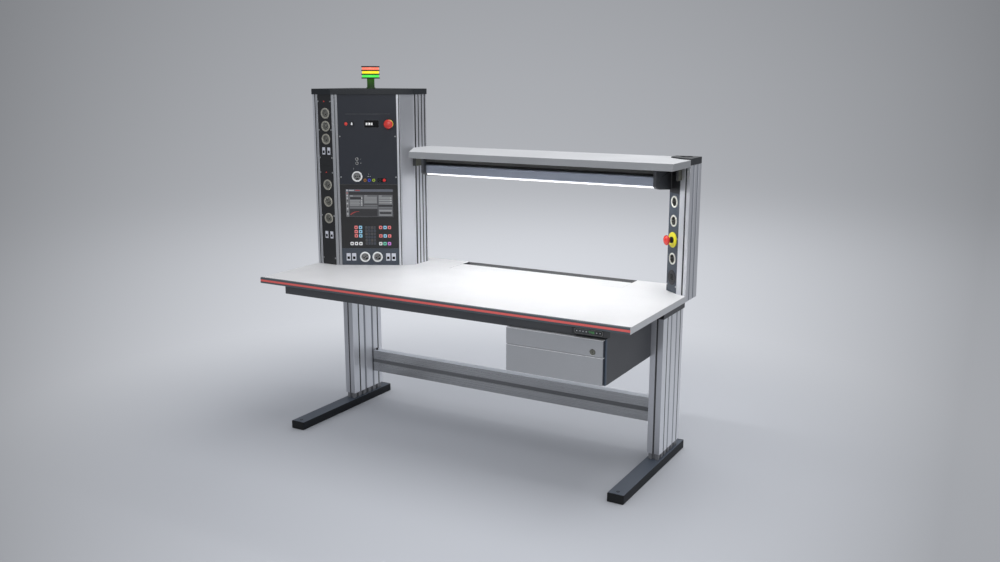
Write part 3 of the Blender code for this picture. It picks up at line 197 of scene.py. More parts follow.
work = bmesh.new()
bmesh.ops.create_circle(work, cap_ends=True, radius=FLOOR_RADIUS, segments=128)
bmesh.ops.translate(work, verts=work.verts, vec=(0, 0, -FLOOR_DROP))
floor = standing("floor", filled(work))
floor_finish = bpy.data.materials.new("studio_floor")
floor_finish.use_nodes = True
tree = floor_finish.node_tree
tree.nodes.clear()
# Painted shade towards the picture's sides, and painted light on the far floor, which glows instead of being
# lit.
spot = place_of(tree)
reach = vector_of(tree, "LENGTH", spot)
shade = side_shade(tree, spot, FLOOR_START)
lit = add_node(tree, "ShaderNodeBsdfDiffuse",
               {"Color": tinted(tree, math_of(tree, "MULTIPLY", shade, FLOOR_ALBEDO))})
glow = math_of(tree, "DIVIDE", GLOW_GAIN, math_of(tree, "ADD", reach, GLOW_OFFSET))
nearness = math_of(tree, "DIVIDE", vector_of(tree, "DISTANCE", spot, GLOW_SPOT), GLOW_SPOT_SPREAD)
bump = math_of(tree, "MULTIPLY", math_of(tree, "MULTIPLY", nearness, nearness), -1.0)
bump = math_of(tree, "EXPONENT", bump)
glow = math_of(tree, "ADD", math_of(tree, "ADD", HORIZON_LEVEL, glow),
               math_of(tree, "MULTIPLY", bump, GLOW_SPOT_LEVEL))
far_light = add_node(tree, "ShaderNodeEmission",
                     {"Color": tinted(tree, math_of(tree, "MULTIPLY", glow, shade)), "Strength": 1.0})
mixed = add_node(tree, "ShaderNodeMixShader",
                 {0: step_of(tree, reach, *FAR_FLOOR), 1: lit.outputs[0], 2: far_light.outputs[0]})
add_node(tree, "ShaderNodeOutputMaterial", {"Surface": mixed.outputs[0]})
floor.data.materials.append(floor_finish)


def soft_box(name, place, aim, width, depth, power):
    """An area light at a place, turned to a point."""
    data = bpy.data.lights.new(name, "AREA")
    data.shape = "RECTANGLE"
    data.size = width
    data.size_y = depth
    data.energy = power
    made = standing(name, data)
    made.location = place
    made.rotation_euler = (Vector(aim) - Vector(place)).to_track_quat("-Z", "Y").to_euler()
    return made


soft_box("key_light", (0.95, 0.05, 4.2), (0.5, 0.0, 0.0), 3.0, 2.6, 67)
soft_box("front_light", (2.3, -4.2, 2.6), (0.0, 0.0, 0.8), 3.0, 2.0, 42)
soft_box("rear_light", (0.3, 3.4, 3.2), (0.0, 0.8, 0.0), 3.0, 2.0, 16)

# Feet
# Each foot is a flat steel tube, powder-coated anthracite, closed by a plastic cap at each
# end. The levelling screw is reached through a hole near its front end.
FOOT_TOP = 0.038
CAP_DEPTH = 0.005
CAP_INSET = 0.0005
HOLE_SETBACK = 0.030
FOOT_EASE = 0.0025
CAP_EASE = 0.0022
CAP_GAP = 0.0004
MERGE = 1e-5
FINE_MERGE = 1e-6
FACET = math.radians(1)
EASED_FROM = math.radians(28)
SMOOTH_TO = math.radians(46)
# Width and tone of the painted highlight on rounded edges.
EDGE_HIGHLIGHT_WIDTH = 0.0012
EDGE_HIGHLIGHT_TONE = 0.75
EDGE_AGREEMENT = (0.995, 0.80)
COAT_ROUGHNESS = 0.12
FLAT = Matrix.Identity(4)


def settled(holder, *others):
    """An object's mesh with its modifiers in it; the object and its helpers are removed."""
    bpy.context.view_layer.update()
    made = bpy.data.meshes.new_from_object(holder.evaluated_get(bpy.context.evaluated_depsgraph_get()))
    for item in (holder, *others):
        bpy.data.objects.remove(item)
    return made


def mesh_from(work, ease=0.0, steps=2, merge=MERGE):
    """A finished mesh: doubles merged, sharp edges eased, round parts smooth and flat parts flat."""
    bmesh.ops.remove_doubles(work, verts=work.verts, dist=merge)
    bmesh.ops.recalc_face_normals(work, faces=work.faces)
    if ease:
        sharp = [edge for edge in work.edges
                 if edge.is_manifold and edge.calc_face_angle(0) > EASED_FROM]
        bmesh.ops.bevel(work, geom=sharp, offset=ease, segments=steps, profile=0.5, affect="EDGES",
                        clamp_overlap=True)
    made = filled(work)
    made.shade_smooth()
    made.set_sharp_from_angle(angle=SMOOTH_TO)
    holder = standing("holder", made)
    holder.modifiers.new("weigh", "WEIGHTED_NORMAL").keep_sharp = True
    done = settled(holder)
    bpy.data.meshes.remove(made)
    return done


def cad_work(node):
    """A CAD node's mesh as a bmesh of whole faces."""
    work = bmesh.new()
    work.from_mesh(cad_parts[node].data)
    bmesh.ops.remove_doubles(work, verts=work.verts, dist=MERGE)
    bmesh.ops.dissolve_limit(work, angle_limit=FACET, verts=work.verts, edges=work.edges)
    return work


def add_block(work, low, high, where=FLAT):
    """A block between two corners of a frame, added to a bmesh."""
    low = Vector(low)
    high = Vector(high)
    made = bmesh.ops.create_cube(work, size=1.0)["verts"]
    place = where @ Matrix.Translation((low + high) / 2) @ Matrix.Diagonal((*(high - low), 1.0))
    bmesh.ops.transform(work, matrix=place, verts=made)
    return made


def fitted(name, mesh, finish, node="", body="desk"):
    """A piece of the bench: its finishes, the CAD node it stands for and its body."""
    made = standing(name, mesh)
    mesh.name = name
    mesh.materials.clear()
    for one in finish if isinstance(finish, list) else [finish]:
        mesh.materials.append(one)
    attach(made, body)
    if node:
        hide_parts(node)
    return made


def dressed(name, node, ease, finish, body="desk", steps=2):
    """A piece with the shape of the CAD node it stands for, its edges eased."""
    return fitted(name, mesh_from(cad_work(node), ease, steps), finish, node, body)


def blocks(name, corners, finish, ease=0.0, where=FLAT, node="", body="desk", steps=2):
    """A piece made of blocks, each given by two corners of a frame."""
    work = bmesh.new()
    for low, high in corners:
        add_block(work, low, high, where)
    return fitted(name, mesh_from(work, ease, steps), finish, node, body)


def sorted_faces(piece, rule):
    """The rule gives each face of a piece the number of its finish."""
    for face in piece.data.polygons:
        face.material_index = rule(face)


def lathe(profile, steps=36, ring=False, where=FLAT):
    """A profile of radius and height in millimetres spun about Z; a ring's profile closes on itself."""
    work = bmesh.new()
    spots = [work.verts.new((radius / 1000, 0, height / 1000)) for radius, height in profile]
    pairs = list(zip(spots, spots[1:])) + ([(spots[-1], spots[0])] if ring else [])
    edges = [work.edges.new(pair) for pair in pairs]
    bmesh.ops.spin(work, geom=spots + edges, axis=(0, 0, 1), cent=(0, 0, 0), angle=math.tau, steps=steps)
    bmesh.ops.remove_doubles(work, verts=work.verts, dist=FINE_MERGE)
    bmesh.ops.transform(work, matrix=where, verts=work.verts)
    return mesh_from(work, merge=FINE_MERGE)


# Painted highlight: a mask of the rounded edges, where a finish's colour is paled as if light caught them.
PAINTED_EDGE_HIGHLIGHT, given, told = new_group("painted_edge_highlight", [("Width", "Float", EDGE_HIGHLIGHT_WIDTH)], [("Mask", "Float")])
tree = PAINTED_EDGE_HIGHLIGHT
rounded = add_node(tree, "ShaderNodeBevel", {"Radius": given["Width"]}, samples=6).outputs[0]
true_way = add_node(tree, "ShaderNodeNewGeometry").outputs["Normal"]
agree = vector_of(tree, "DOT_PRODUCT", rounded, true_way)
tree.links.new(step_of(tree, agree, *EDGE_AGREEMENT), told["Mask"])


def noise_of(tree, place, scale, detail):
    """The output of a Noise Texture node."""
    made = add_node(tree, "ShaderNodeTexNoise", {"Vector": place, "Scale": scale, "Detail": detail})
    return made.outputs[0]


def surface_group(name, detail, cloud_scale, cloud_detail, depth, raised, swing, cloudy):
    """Grain or lines over a broad cloud, which vary the colour, the roughness and the normal.

    Low and High are heights, and the colour takes Low Share below and High Share above them; this paints
    light and shade by height.
    """
    tree, given, told = new_group(
        name, [("Place", "Vector"), ("Stretch", "Vector"), ("Relief", "Float", 0.1), ("Colour", "Color"),
               ("Roughness", "Float", 0.5), ("Low", "Float", 0.0), ("High", "Float", 1.0),
               ("Low Share", "Float", 1.0), ("High Share", "Float", 1.0)],
        [("Colour", "Color"), ("Roughness", "Float"), ("Normal", "Vector")])
    place = given["Place"]
    fine = noise_of(tree, vector_of(tree, "MULTIPLY", place, given["Stretch"]), 1.0, detail)
    broad = noise_of(tree, place, cloud_scale, cloud_detail)
    shade = math_of(tree, "MULTIPLY_ADD", fine, depth, 1.0 - depth)
    shade = math_of(tree, "MULTIPLY_ADD", broad, depth, shade)
    share = step_of(tree, add_node(tree, "ShaderNodeSeparateXYZ", {0: place}).outputs["Z"],
                    *(given[key] for key in ("Low", "High", "Low Share", "High Share")), "LINEAR")
    tone = vector_of(tree, "MULTIPLY", given["Colour"], math_of(tree, "MULTIPLY", shade, share))
    rough = math_of(tree, "MULTIPLY_ADD", broad if cloudy else fine, swing, -swing / 2)
    bump = add_node(tree, "ShaderNodeBump", {"Height": fine, "Strength": given["Relief"], "Distance": raised})
    tree.links.new(tone, told["Colour"])
    tree.links.new(math_of(tree, "ADD", given["Roughness"], rough), told["Roughness"])
    tree.links.new(bump.outputs[0], told["Normal"])
    return tree


def new_finish(name, inputs):
    """A material, its tree and its shader with the inputs set."""
    made = bpy.data.materials.new(name)
    made.use_nodes = True
    shader = made.node_tree.nodes["Principled BSDF"]
    for key, value in inputs.items():
        shader.inputs[key].default_value = value
    return made, made.node_tree, shader


def colour_of(tree, colour):
    """A colour; where none is given, the tint that the piece itself carries."""
    if colour:
        return (*colour, 1.0)
    made = add_node(tree, "ShaderNodeAttribute", attribute_name="tint", attribute_type="GEOMETRY")
    return made.outputs["Color"]


def worked_finish(name, group, colour, roughness, relief, stretch, inputs, ramp=(0.0, 1.0, 1.0, 1.0)):
    """A finish from a surface group; where no colour is given, the piece's own tint is used."""
    made, tree, shader = new_finish(name, inputs)
    surface = {"Place": place_of(tree), "Stretch": stretch, "Relief": relief, "Roughness": roughness,
               "Colour": colour_of(tree, colour)}
    surface.update(zip(("Low", "High", "Low Share", "High Share"), ramp))
    worked = add_node(tree, "ShaderNodeGroup", surface, node_tree=group).outputs
    for key, socket in (("Colour", "Base Color"), ("Roughness", "Roughness"), ("Normal", "Normal")):
        tree.links.new(worked[key], shader.inputs[socket])
    return made, tree, shader, worked


FINE_GRAIN = surface_group("fine_grain", 2.0, 7.0, 3.0, 0.12, 0.0006, 0.16, True)


def painted_finish(name, colour, roughness, grain=900.0, relief=0.25, edge=0.25, metallic=0.0, coat=0.0,
                   gloss=0.5):
    """A textured paint or moulded plastic: a fine grain, slight unevenness and edges paled by a painted
    highlight; edge sets how far.
    """
    made, tree, shader, worked = worked_finish(
        name, FINE_GRAIN, colour, roughness, relief, (grain,) * 3,
        {"Metallic": metallic, "Specular IOR Level": gloss, "Coat Weight": coat,
         "Coat Roughness": COAT_ROUGHNESS})
    mask = add_node(tree, "ShaderNodeGroup", node_tree=PAINTED_EDGE_HIGHLIGHT).outputs["Mask"]
    pale = [channel + (EDGE_HIGHLIGHT_TONE - channel) * edge for channel in colour]
    blend = add_node(tree, "ShaderNodeMix", {"Factor": mask, 6: worked["Colour"], 7: (*pale, 1.0)},
                     data_type="RGBA")
    tree.links.new(blend.outputs[2], shader.inputs["Base Color"])
    return made


# Painted light and shade: the anthracite coat is split into a lighter copy for the feet's tops and a darker,
# duller copy for their sides.
ANTHRACITE_LIT_TOP = painted_finish("anthracite_painted_light_top", (0.095, 0.115, 0.150), 0.42, edge=0.06)
ANTHRACITE_SHADED_SIDE = painted_finish("anthracite_painted_shade_side", (0.015, 0.017, 0.021), 0.52, edge=0.04, gloss=0.18)
CAP_PLASTIC = painted_finish("cap_plastic", (0.010, 0.011, 0.012), 0.45, 1500, 0.15, 0.08, gloss=0.25)
STEEL = painted_finish("zinc_plated_steel", (0.46, 0.47, 0.48), 0.34, 400, 0.10, 0.3, metallic=0.9)
BUSH = [(3.5, 0), (3.5, 0.6), (6.5, 0.6), (7.2, 0), (7.2, -3), (3.5, -3)]
for word in ("left", "right"):
    low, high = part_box("foot_" + word)
    tube = ((low.x, low.y + CAP_DEPTH, low.z), (high.x, high.y - CAP_DEPTH, FOOT_TOP))
    runner = blocks("foot_runner_" + word, [tube], [ANTHRACITE_LIT_TOP, ANTHRACITE_SHADED_SIDE],
                    FOOT_EASE, node="foot_" + word, body="base")
    # Upward faces take the painted lit top, the others the painted shaded sides.
    sorted_faces(runner, lambda face: 0 if face.normal.z > 0.6 else 1)
    ends = ((low.y, low.y + CAP_DEPTH - CAP_GAP), (high.y - CAP_DEPTH + CAP_GAP, high.y))
    blocks("foot_caps_" + word, [((low.x + CAP_INSET, start, low.z + CAP_INSET),
                                  (high.x - CAP_INSET, end, FOOT_TOP - CAP_INSET)) for start, end in ends],
           CAP_PLASTIC, CAP_EASE, body="base", steps=3)
    bush = lathe(BUSH, 28, True, Matrix.Translation(((low.x + high.x) / 2, low.y + HOLE_SETBACK, FOOT_TOP)))
    fitted("levelling_bush_" + word, bush, CAP_PLASTIC, body="base")

# Columns
# The outer columns are anodised extrusions with a screw slot in each narrow side and slots
# and shallow flutes in the broad sides. A cast block bolts each one to its foot.
COLUMN_WALL = 0.011
COLUMN_CORNER = 0.003
CLEARANCE = 0.0002
# Widths and depths of the grooves, and where they lie along a side.
SLOT = (0.009, 0.007)
FLUTE = (0.018, 0.0032)
NARROW_SLOT = (0.008, 0.007)
STEP_SLOT = (0.016, 0.009)
END_SLOT = (0.014, 0.009)
SLOT_SHARES = (0.20, 0.86)
FLUTE_SHARES = (0.40, 0.67)
SLOT_HALF = 0.00445
FLUTE_HALF = 0.0066
NARROW_HALF = 0.0039
BLOCK_INSET = 0.006
BLOCK_CORNER = 0.002
BLOCK_BOTTOM = 0.0376
BLOCK_STEPS = (0.1, 0.28, 0.46, 0.64, 0.82)
STRIP_SUNK = 0.0012
FLUTE_SUNK = 0.0013
STRIP_DEPTH = 0.0022
STRIP_END = 0.001
STRIP_EASE = 0.0003


def slot_points(width, depth, lip=0.0009):
    """A square groove with rounded lips, as places along an edge and depths into it."""
    half = width / 2
    return [(-half - lip, 0.0), (-half - lip * 0.3, lip * 0.3), (-half, lip), (-half, depth),
            (half, depth), (half, lip), (half + lip * 0.3, lip * 0.3), (half + lip, 0.0)]


def flute_points(width, depth, steps=10):
    """A shallow round hollow."""
    shares = [2 * step / steps - 1 for step in range(steps + 1)]
    return [(share * width / 2, depth * (1 - share * share)) for share in shares]


def outline_of(corners, marks, radius):
    """A closed outline with rounded corners; marks gives, for an edge, the grooves along it."""
    points = []
    count = len(corners)
    for index in range(count):
        before, here, after = (Vector(corners[(index + shift) % count]) for shift in (-1, 0, 1))
        back = (before - here).normalized()
        way = (after - here).normalized()
        for share in (0, 0.25, 0.5, 0.75, 1):
            points.append(here + back * radius * (1 - share) ** 2 + way * radius * share ** 2)
        inward = Vector((-way.y, way.x))
        for share, shape in sorted(marks.get(index, []), key=lambda mark: mark[0]):
            middle = here + (after - here) * share
            points += [middle + way * along + inward * into for along, into in shape]
    return points


def extrusion(outline, low, high, holes=(), axis="Z", ease=0.0, where=FLAT):
    """An outline, counter-clockwise, drawn out along Z, or along X with the outline in Y and Z."""
    work = bmesh.new()
    ends = {low: [], high: []}
    for loop in (outline, *holes):
        rows = []
        for level in (low, high):
            row = [work.verts.new((point[0], point[1], level)) for point in loop]
            ends[level] += [work.edges.new((row[i - 1], row[i])) for i in range(len(row))]
            rows.append(row)
        for index in range(len(loop)):
            work.faces.new((rows[0][index - 1], rows[0][index], rows[1][index], rows[1][index - 1]))
    for edges in ends.values():
        bmesh.ops.triangle_fill(work, edges=edges, use_beauty=True, use_dissolve=True)
    if axis == "X":
        turn = Matrix.Rotation(math.radians(90), 4, "Z") @ Matrix.Rotation(math.radians(90), 4, "X")
        bmesh.ops.transform(work, matrix=turn, verts=work.verts)
    made = mesh_from(work, ease)
    made.transform(where)
    return made


def rectangle(low, high, inset=0.0):
    """Four corners, counter-clockwise, set in from two opposite ones."""
    x0, y0, x1, y1 = low[0] + inset, low[1] + inset, high[0] - inset, high[1] - inset
    return [(x0, y0), (x1, y0), (x1, y1), (x0, y1)]


DRAWN_LINES = surface_group("drawn_lines", 3.0, 5.0, 2.0, 0.05, 0.0005, 0.08, False)
UPRIGHT_LINES = (700.0, 700.0, 1.2)
LEVEL_LINES = (1.2, 700.0, 700.0)
DRAWN_RELIEF = 0.03


def drawn_finish(name, colour, roughness, stretch=UPRIGHT_LINES, metallic=0.6, ramp=(0.0, 1.0, 1.0, 1.0)):
    """Anodised aluminium with the fine lines of the extrusion die along it."""
    return worked_finish(name, DRAWN_LINES, colour, roughness, DRAWN_RELIEF, stretch, {"Metallic": metallic},
                         ramp)[0]


# Painted shade: near-black and grey strips sunk in the slots and flutes stand for the shade inside them.
SHADE_STRIP_PAINT = {"grain": 800, "relief": 0.1, "edge": 0.0}
ANODISED = drawn_finish("anodised_uprights", (0.66, 0.675, 0.71), 0.30)
# Painted light and shade: the broad sides take a lighter copy of the anodising, and the fronts, shaded by the
# desk, a darker copy.
ANODISED_LIT_SIDES = drawn_finish("anodised_painted_light_sides", (0.82, 0.835, 0.875), 0.32, metallic=0.5)
ANODISED_SHADED_FRONTS = drawn_finish("anodised_painted_shade_fronts", (0.50, 0.51, 0.545), 0.34)
CAST_BLOCK = painted_finish("cast_block", (0.24, 0.245, 0.26), 0.42, grain=500, metallic=0.4)
SLOT_SHADE_STRIP = painted_finish("slot_painted_shade", (0.010, 0.010, 0.011), 0.6, **SHADE_STRIP_PAINT)
NARROW_SLOT_SHADE = painted_finish("narrow_slot_painted_shade", (0.050, 0.050, 0.054), 0.6, **SHADE_STRIP_PAINT)
FLUTE_SHADE_STRIP = painted_finish("flute_strip", (0.27, 0.28, 0.315), 0.5, **SHADE_STRIP_PAINT)
for word in ("left", "right"):
    low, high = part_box("column_" + word)
    broad = [(share, slot_points(*SLOT)) for share in SLOT_SHARES]
    broad += [(share, flute_points(*FLUTE)) for share in FLUTE_SHARES]
    narrow = [(0.5, slot_points(*NARROW_SLOT))]
    marks = {0: narrow, 1: broad, 2: narrow, 3: [(1 - share, shape) for share, shape in broad]}
    tube = fitted("lift_column_" + word,
                  extrusion(outline_of(rectangle(low, high), marks, COLUMN_CORNER), low.z, high.z,
                            [rectangle(low, high, COLUMN_WALL)[::-1]]),
                  [ANODISED, ANODISED_SHADED_FRONTS, ANODISED_LIT_SIDES], "column_" + word, "base")
    # Front faces take the painted shade, the broad sides the painted light, the rest plain anodising.
    sorted_faces(tube, lambda face: 1 if face.normal.y < -0.9 else 2 if abs(face.normal.x) > 0.3 else 0)
    steps = [(share, slot_points(*STEP_SLOT)) for share in BLOCK_STEPS]
    ends = [(0.5, slot_points(*END_SLOT))]
    marks = {0: ends, 1: steps, 2: ends, 3: steps}
    plinth = outline_of(rectangle(low, high, BLOCK_INSET), marks, BLOCK_CORNER)
    fitted("column_block_" + word, extrusion(plinth, BLOCK_BOTTOM, low.z - CLEARANCE), CAST_BLOCK,
           body="base")
    # Painted shade strips in the broad sides' slots and flutes.
    for label, finish, shares, half, sunk in (("slot", SLOT_SHADE_STRIP, SLOT_SHARES, SLOT_HALF, STRIP_SUNK),
                                              ("flute", FLUTE_SHADE_STRIP, FLUTE_SHARES, FLUTE_HALF, FLUTE_SUNK)):
        middles = [low.y + share * (high.y - low.y) for share in shares]
        blocks("column_" + label + "_strips_" + word,
               [((start, middle - half, low.z + STRIP_END),
                 (start + STRIP_DEPTH, middle + half, high.z - STRIP_END))
                for middle in middles for start in (low.x + sunk, high.x - sunk - STRIP_DEPTH)],
               finish, STRIP_EASE, body="base")
    middle = (low.x + high.x) / 2
    # Painted shade strips in the narrow sides' slots.
    blocks("column_narrow_strips_" + word,
           [((middle - NARROW_HALF, start, low.z + STRIP_END),
             (middle + NARROW_HALF, start + STRIP_DEPTH, high.z - STRIP_END))
            for start in (low.y + STRIP_SUNK, high.y - STRIP_SUNK - STRIP_DEPTH)],
           NARROW_SLOT_SHADE, STRIP_EASE, body="base")
    dressed("inner_tube_" + word, "lift_tube_" + word, 0.0006, STEEL)

# Crossbar
# One flat aluminium profile with a screw slot joins the columns. It is bolted on through
# black end gaskets, and a capped screw shows above it on each side.
ANODISED_BAR = drawn_finish("anodised_crossbar", (0.455, 0.46, 0.472), 0.28, LEVEL_LINES, 0.75)
# Painted light and shade: the crossbar's top face takes a near-white copy of its anodising, and a grey strip
# in its slot stands for the slot's shade.
BAR_LIT_TOP = drawn_finish("crossbar_painted_light_top", (0.86, 0.90, 0.97), 0.34, LEVEL_LINES, 0.2)
BAR_SLOT_SHADE = painted_finish("crossbar_slot_painted_shade", (0.150, 0.155, 0.165), 0.55, **SHADE_STRIP_PAINT)
GASKET = painted_finish("black_gasket", (0.015, 0.015, 0.017), 0.6, grain=800, edge=0.05)
BAR_END = 0.004
BAR_SLOT = (0.0175, 0.009, 0.002)
BAR_CORNER = 0.0022
BAR_STRIP_HALF = 0.0086
BAR_STRIP_BACK = 0.005
GASKET_DEPTH = 0.0038
SCREW_INSET = 0.017
low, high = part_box("crossbar")
middle = (low.z + high.z) / 2
bar = outline_of(rectangle(low.yz, high.yz), {3: [(0.5, slot_points(*BAR_SLOT))]}, BAR_CORNER)
rail = fitted("cross_rail", extrusion(bar, low.x + BAR_END, high.x - BAR_END, axis="X"),
              [ANODISED_BAR, BAR_LIT_TOP], "crossbar", "base")
# Faces on the top take the painted lit copy.
sorted_faces(rail, lambda face: 1 if face.normal.z > 0.5 and face.center.z > high.z - 0.003 else 0)
# A grey strip in the slot stands for its painted shade.
blocks("cross_rail_strip", [((low.x + BAR_END, low.y + STRIP_SUNK, middle - BAR_STRIP_HALF),
                             (high.x - BAR_END, low.y + BAR_STRIP_BACK, middle + BAR_STRIP_HALF))],
       BAR_SLOT_SHADE, 0.0004, body="base")
blocks("cross_rail_gaskets", [((start, low.y + CLEARANCE, low.z + CLEARANCE),
                               (start + GASKET_DEPTH, high.y - CLEARANCE, high.z - CLEARANCE))
                              for start in (low.x, high.x - GASKET_DEPTH)],
       GASKET, 0.0004, body="base")
knobs = bmesh.new()
for spot_x in (low.x + SCREW_INSET, high.x - SCREW_INSET):
    bmesh.ops.create_cone(knobs, cap_ends=True, segments=20, radius1=0.006, radius2=0.0045, depth=0.010,
                          matrix=Matrix.Translation((spot_x, low.y + 0.015, high.z + 0.0048)))
fitted("cross_rail_screws", mesh_from(knobs, 0.0008), GASKET, body="base")

# Frame under the desk
# Two steel beams on the lift tubes and a traverse between them carry the desk top. All are
# powder-coated graphite.
GRAPHITE = painted_finish("graphite_powder_coat", (0.070, 0.073, 0.080), 0.45, edge=0.12)
for node in ("side_beam_left", "side_beam_right", "front_traverse"):
    dressed(node + "_tube", node, 0.0005, GRAPHITE)

# Desk top
# A 27 mm board with white laminate on both faces and grey edge banding, notched at the right
# rear for the post. The upright faces in the cable slot take the dark graphite as painted shade.
EDGE_BAND = painted_finish("grey_edge_band", (0.60, 0.61, 0.63), 0.42, 1200, 0.1, 0.2)
WHITE = painted_finish("white_laminate", (0.80, 0.80, 0.81), 0.36, 1400, 0.12, 0.0)
low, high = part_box("cable_flap")


def banded(face):
    """The second finish goes on the faces that stand upright."""
    return 0 if abs(face.normal.z) > 0.9 else 1


def in_slot(face):
    return low.x - 0.002 < face.center.x < high.x + 0.002 and face.center.y > 0.2


worktop = dressed("worktop_board", "desk_top", 0.0008, [WHITE, EDGE_BAND, GRAPHITE])
# Upright faces in the cable slot take graphite as painted shade, other upright faces the edge band.
sorted_faces(worktop, lambda face: 2 if banded(face) and in_slot(face) else banded(face))

# Edge strip
# The user's edge is a soft slate-coloured nose strip with a red stripe let into it over its
# whole length.
SLATE = painted_finish("slate_nose_strip", (0.085, 0.105, 0.118), 0.42, 1200, 0.12, 0.1)
STRIPE_RED = painted_finish("red_stripe", (0.87, 0.145, 0.135), 0.38, 1200, 0.1, 0.1)
nose = dressed("nose_strip", "edge_strip", 0.0, [SLATE, EDGE_BAND])
sorted_faces(nose, lambda face: 1 if face.normal.x > 0.9 else 0)
dressed("nose_stripe", "edge_stripe", 0.0003, STRIPE_RED)

# Cable flap and tray
# A strip of the desk top folds up on a hidden hinge over a sheet-steel cable tray. The open
# slot behind it lets the leads through.
TRAY_GREY = painted_finish("cable_tray_paint", (0.20, 0.205, 0.21), 0.45, edge=0.1)
flap = dressed("lifting_flap", "cable_flap", 0.0007, [WHITE, EDGE_BAND], "flap")
sorted_faces(flap, banded)
dressed("cable_channel", "cable_tray", 0.0004, TRAY_GREY)
bush = lathe([(0, 0.7), (3.2, 0.7), (4.2, 0), (4.2, -2), (0, -2)], 24,
             where=Matrix.Translation((low.x + 0.004, low.y - 0.0065, high.z)))
fitted("flap_hinge_bush", bush, EDGE_BAND)

# Drawer cabinet
# A graphite steel carcass hangs under the right end of the desk. Its two drawers run on rails
# and have satin grey fronts with dark ends. One cylinder lock closes them.
SATIN = {"grain": 1300, "relief": 0.1}
FRONT_GREY = painted_finish("grey_drawer_front", (0.375, 0.385, 0.405), 0.38, edge=0.25, **SATIN)
# Painted highlight: the top faces and upper edge rounding of the fronts take a near-white copy of their
# finish.
FRONT_LIT_TOP = painted_finish("drawer_front_painted_highlight", (0.85, 0.86, 0.88), 0.38, edge=0.1, **SATIN)
FRONT_END = painted_finish("drawer_front_end", (0.030, 0.036, 0.050), 0.42, edge=0.05, **SATIN)
LOCK_BRASS = painted_finish("lock_cylinder", (0.20, 0.20, 0.17), 0.35, grain=700, edge=0.3, metallic=0.7)
TRIM_BLUE = painted_finish("carcass_edge", (0.080, 0.105, 0.145), 0.4, edge=0.2)
TRIM_WIDTH = 0.0049
TRIM_DEPTH = 0.009
TRIM_PROUD = 0.0001
TRIM_TOP = 0.6765
dressed("cabinet_carcass", "cabinet", 0.0006, GRAPHITE)
low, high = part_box("cabinet")
blocks("cabinet_trim", [((high.x - TRIM_WIDTH, low.y - CLEARANCE, low.z + CLEARANCE),
                         (high.x + TRIM_PROUD, low.y + TRIM_DEPTH, TRIM_TOP))],
       TRIM_BLUE, 0.0006)
for word in ("upper", "lower"):
    panel = dressed("drawer_panel_" + word, "drawer_front_" + word, 0.0016,
                    [FRONT_GREY, FRONT_LIT_TOP, FRONT_END], word + "_drawer", 3)
    # Upward faces take the painted highlight, the ends the dark finish, the fronts the grey.
    sorted_faces(panel, lambda face: 1 if face.normal.z > 0.2 else 2 if abs(face.normal.x) > 0.8 else 0)
    dressed("drawer_box_" + word, "drawer_tray_" + word, 0.0004, GRAPHITE, word + "_drawer")


def face_frame(corner, way, up=0.0):
    """The frame of an upright face: X along it, Y up from the floor, Z out of it."""
    return Matrix(((way[0], 0, way[1], corner[0]), (way[1], 0, -way[0], corner[1]), (0, 1, 0, up),
                   (0, 0, 0, 1)))


low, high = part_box("drawer_lock")
front = face_frame(((low.x + high.x) / 2, low.y), (1, 0), (low.z + high.z) / 2)
radius = 500 * (high.x - low.x)
back = 1000 * (low.y - high.y)
cylinder = [(0, 0), (radius * 0.62, 0), (radius * 0.68, -0.7), (radius * 0.74, 0), (radius - 0.8, 0),
            (radius, -0.8), (radius, back), (0, back)]
fitted("lock_cylinder", lathe(cylinder, 32, where=front), LOCK_BRASS, "drawer_lock", "lock")
blocks("lock_keyway", [((-0.0009, -0.0042, -0.0004), (0.0009, 0.0042, 0.00025))], GASKET,
       0.0001, front, body="lock")

# Height handset
# A wedge-shaped plastic housing under the front edge with four memory marks, a green height
# display and the up and down keys.
HANDSET_BLACK = painted_finish("handset_plastic", (0.028, 0.029, 0.031), 0.5, 1500, 0.3, 0.15)
MARK_WHITE = painted_finish("printed_white", (0.75, 0.77, 0.80), 0.5, 1500, 0.0, 0.0)
WINDOW = painted_finish("handset_window", (0.05, 0.052, 0.056), 0.35, relief=0.05)
RIM = painted_finish("handset_rim", (0.13, 0.13, 0.125), 0.4, relief=0.05)


UNEVEN_GLOW, given, told = new_group(
    "uneven_glow", [("Place", "Vector"), ("Colour", "Color"), ("Scale", "Float"), ("Swing", "Float"),
                    ("Least", "Float"), ("Base Share", "Float")], [("Glow", "Color"), ("Base", "Color")])
tree = UNEVEN_GLOW
cloud = noise_of(tree, given["Place"], given["Scale"], 1.0)
glow = vector_of(tree, "MULTIPLY", given["Colour"],
                 math_of(tree, "MULTIPLY_ADD", cloud, given["Swing"], given["Least"]))
tree.links.new(glow, told["Glow"])
tree.links.new(vector_of(tree, "MULTIPLY", glow, given["Base Share"]), told["Base"])


def lit_finish(name, colour, strength, roughness=0.3, base_share=0.6, scale=220.0, swing=0.2, least=0.88):
    """A lit lens, lamp or picture: glossy, and glowing a little unevenly in its colour or its tint."""
    made, tree, shader = new_finish(name, {"Roughness": roughness, "Emission Strength": strength})
    lit = add_node(tree, "ShaderNodeGroup",
                   {"Place": place_of(tree), "Colour": colour_of(tree, colour), "Scale": scale,
                    "Swing": swing, "Least": least, "Base Share": base_share}, node_tree=UNEVEN_GLOW)
    tree.links.new(lit.outputs["Glow"], shader.inputs["Emission Color"])
    tree.links.new(lit.outputs["Base"], shader.inputs["Base Color"])
    return made


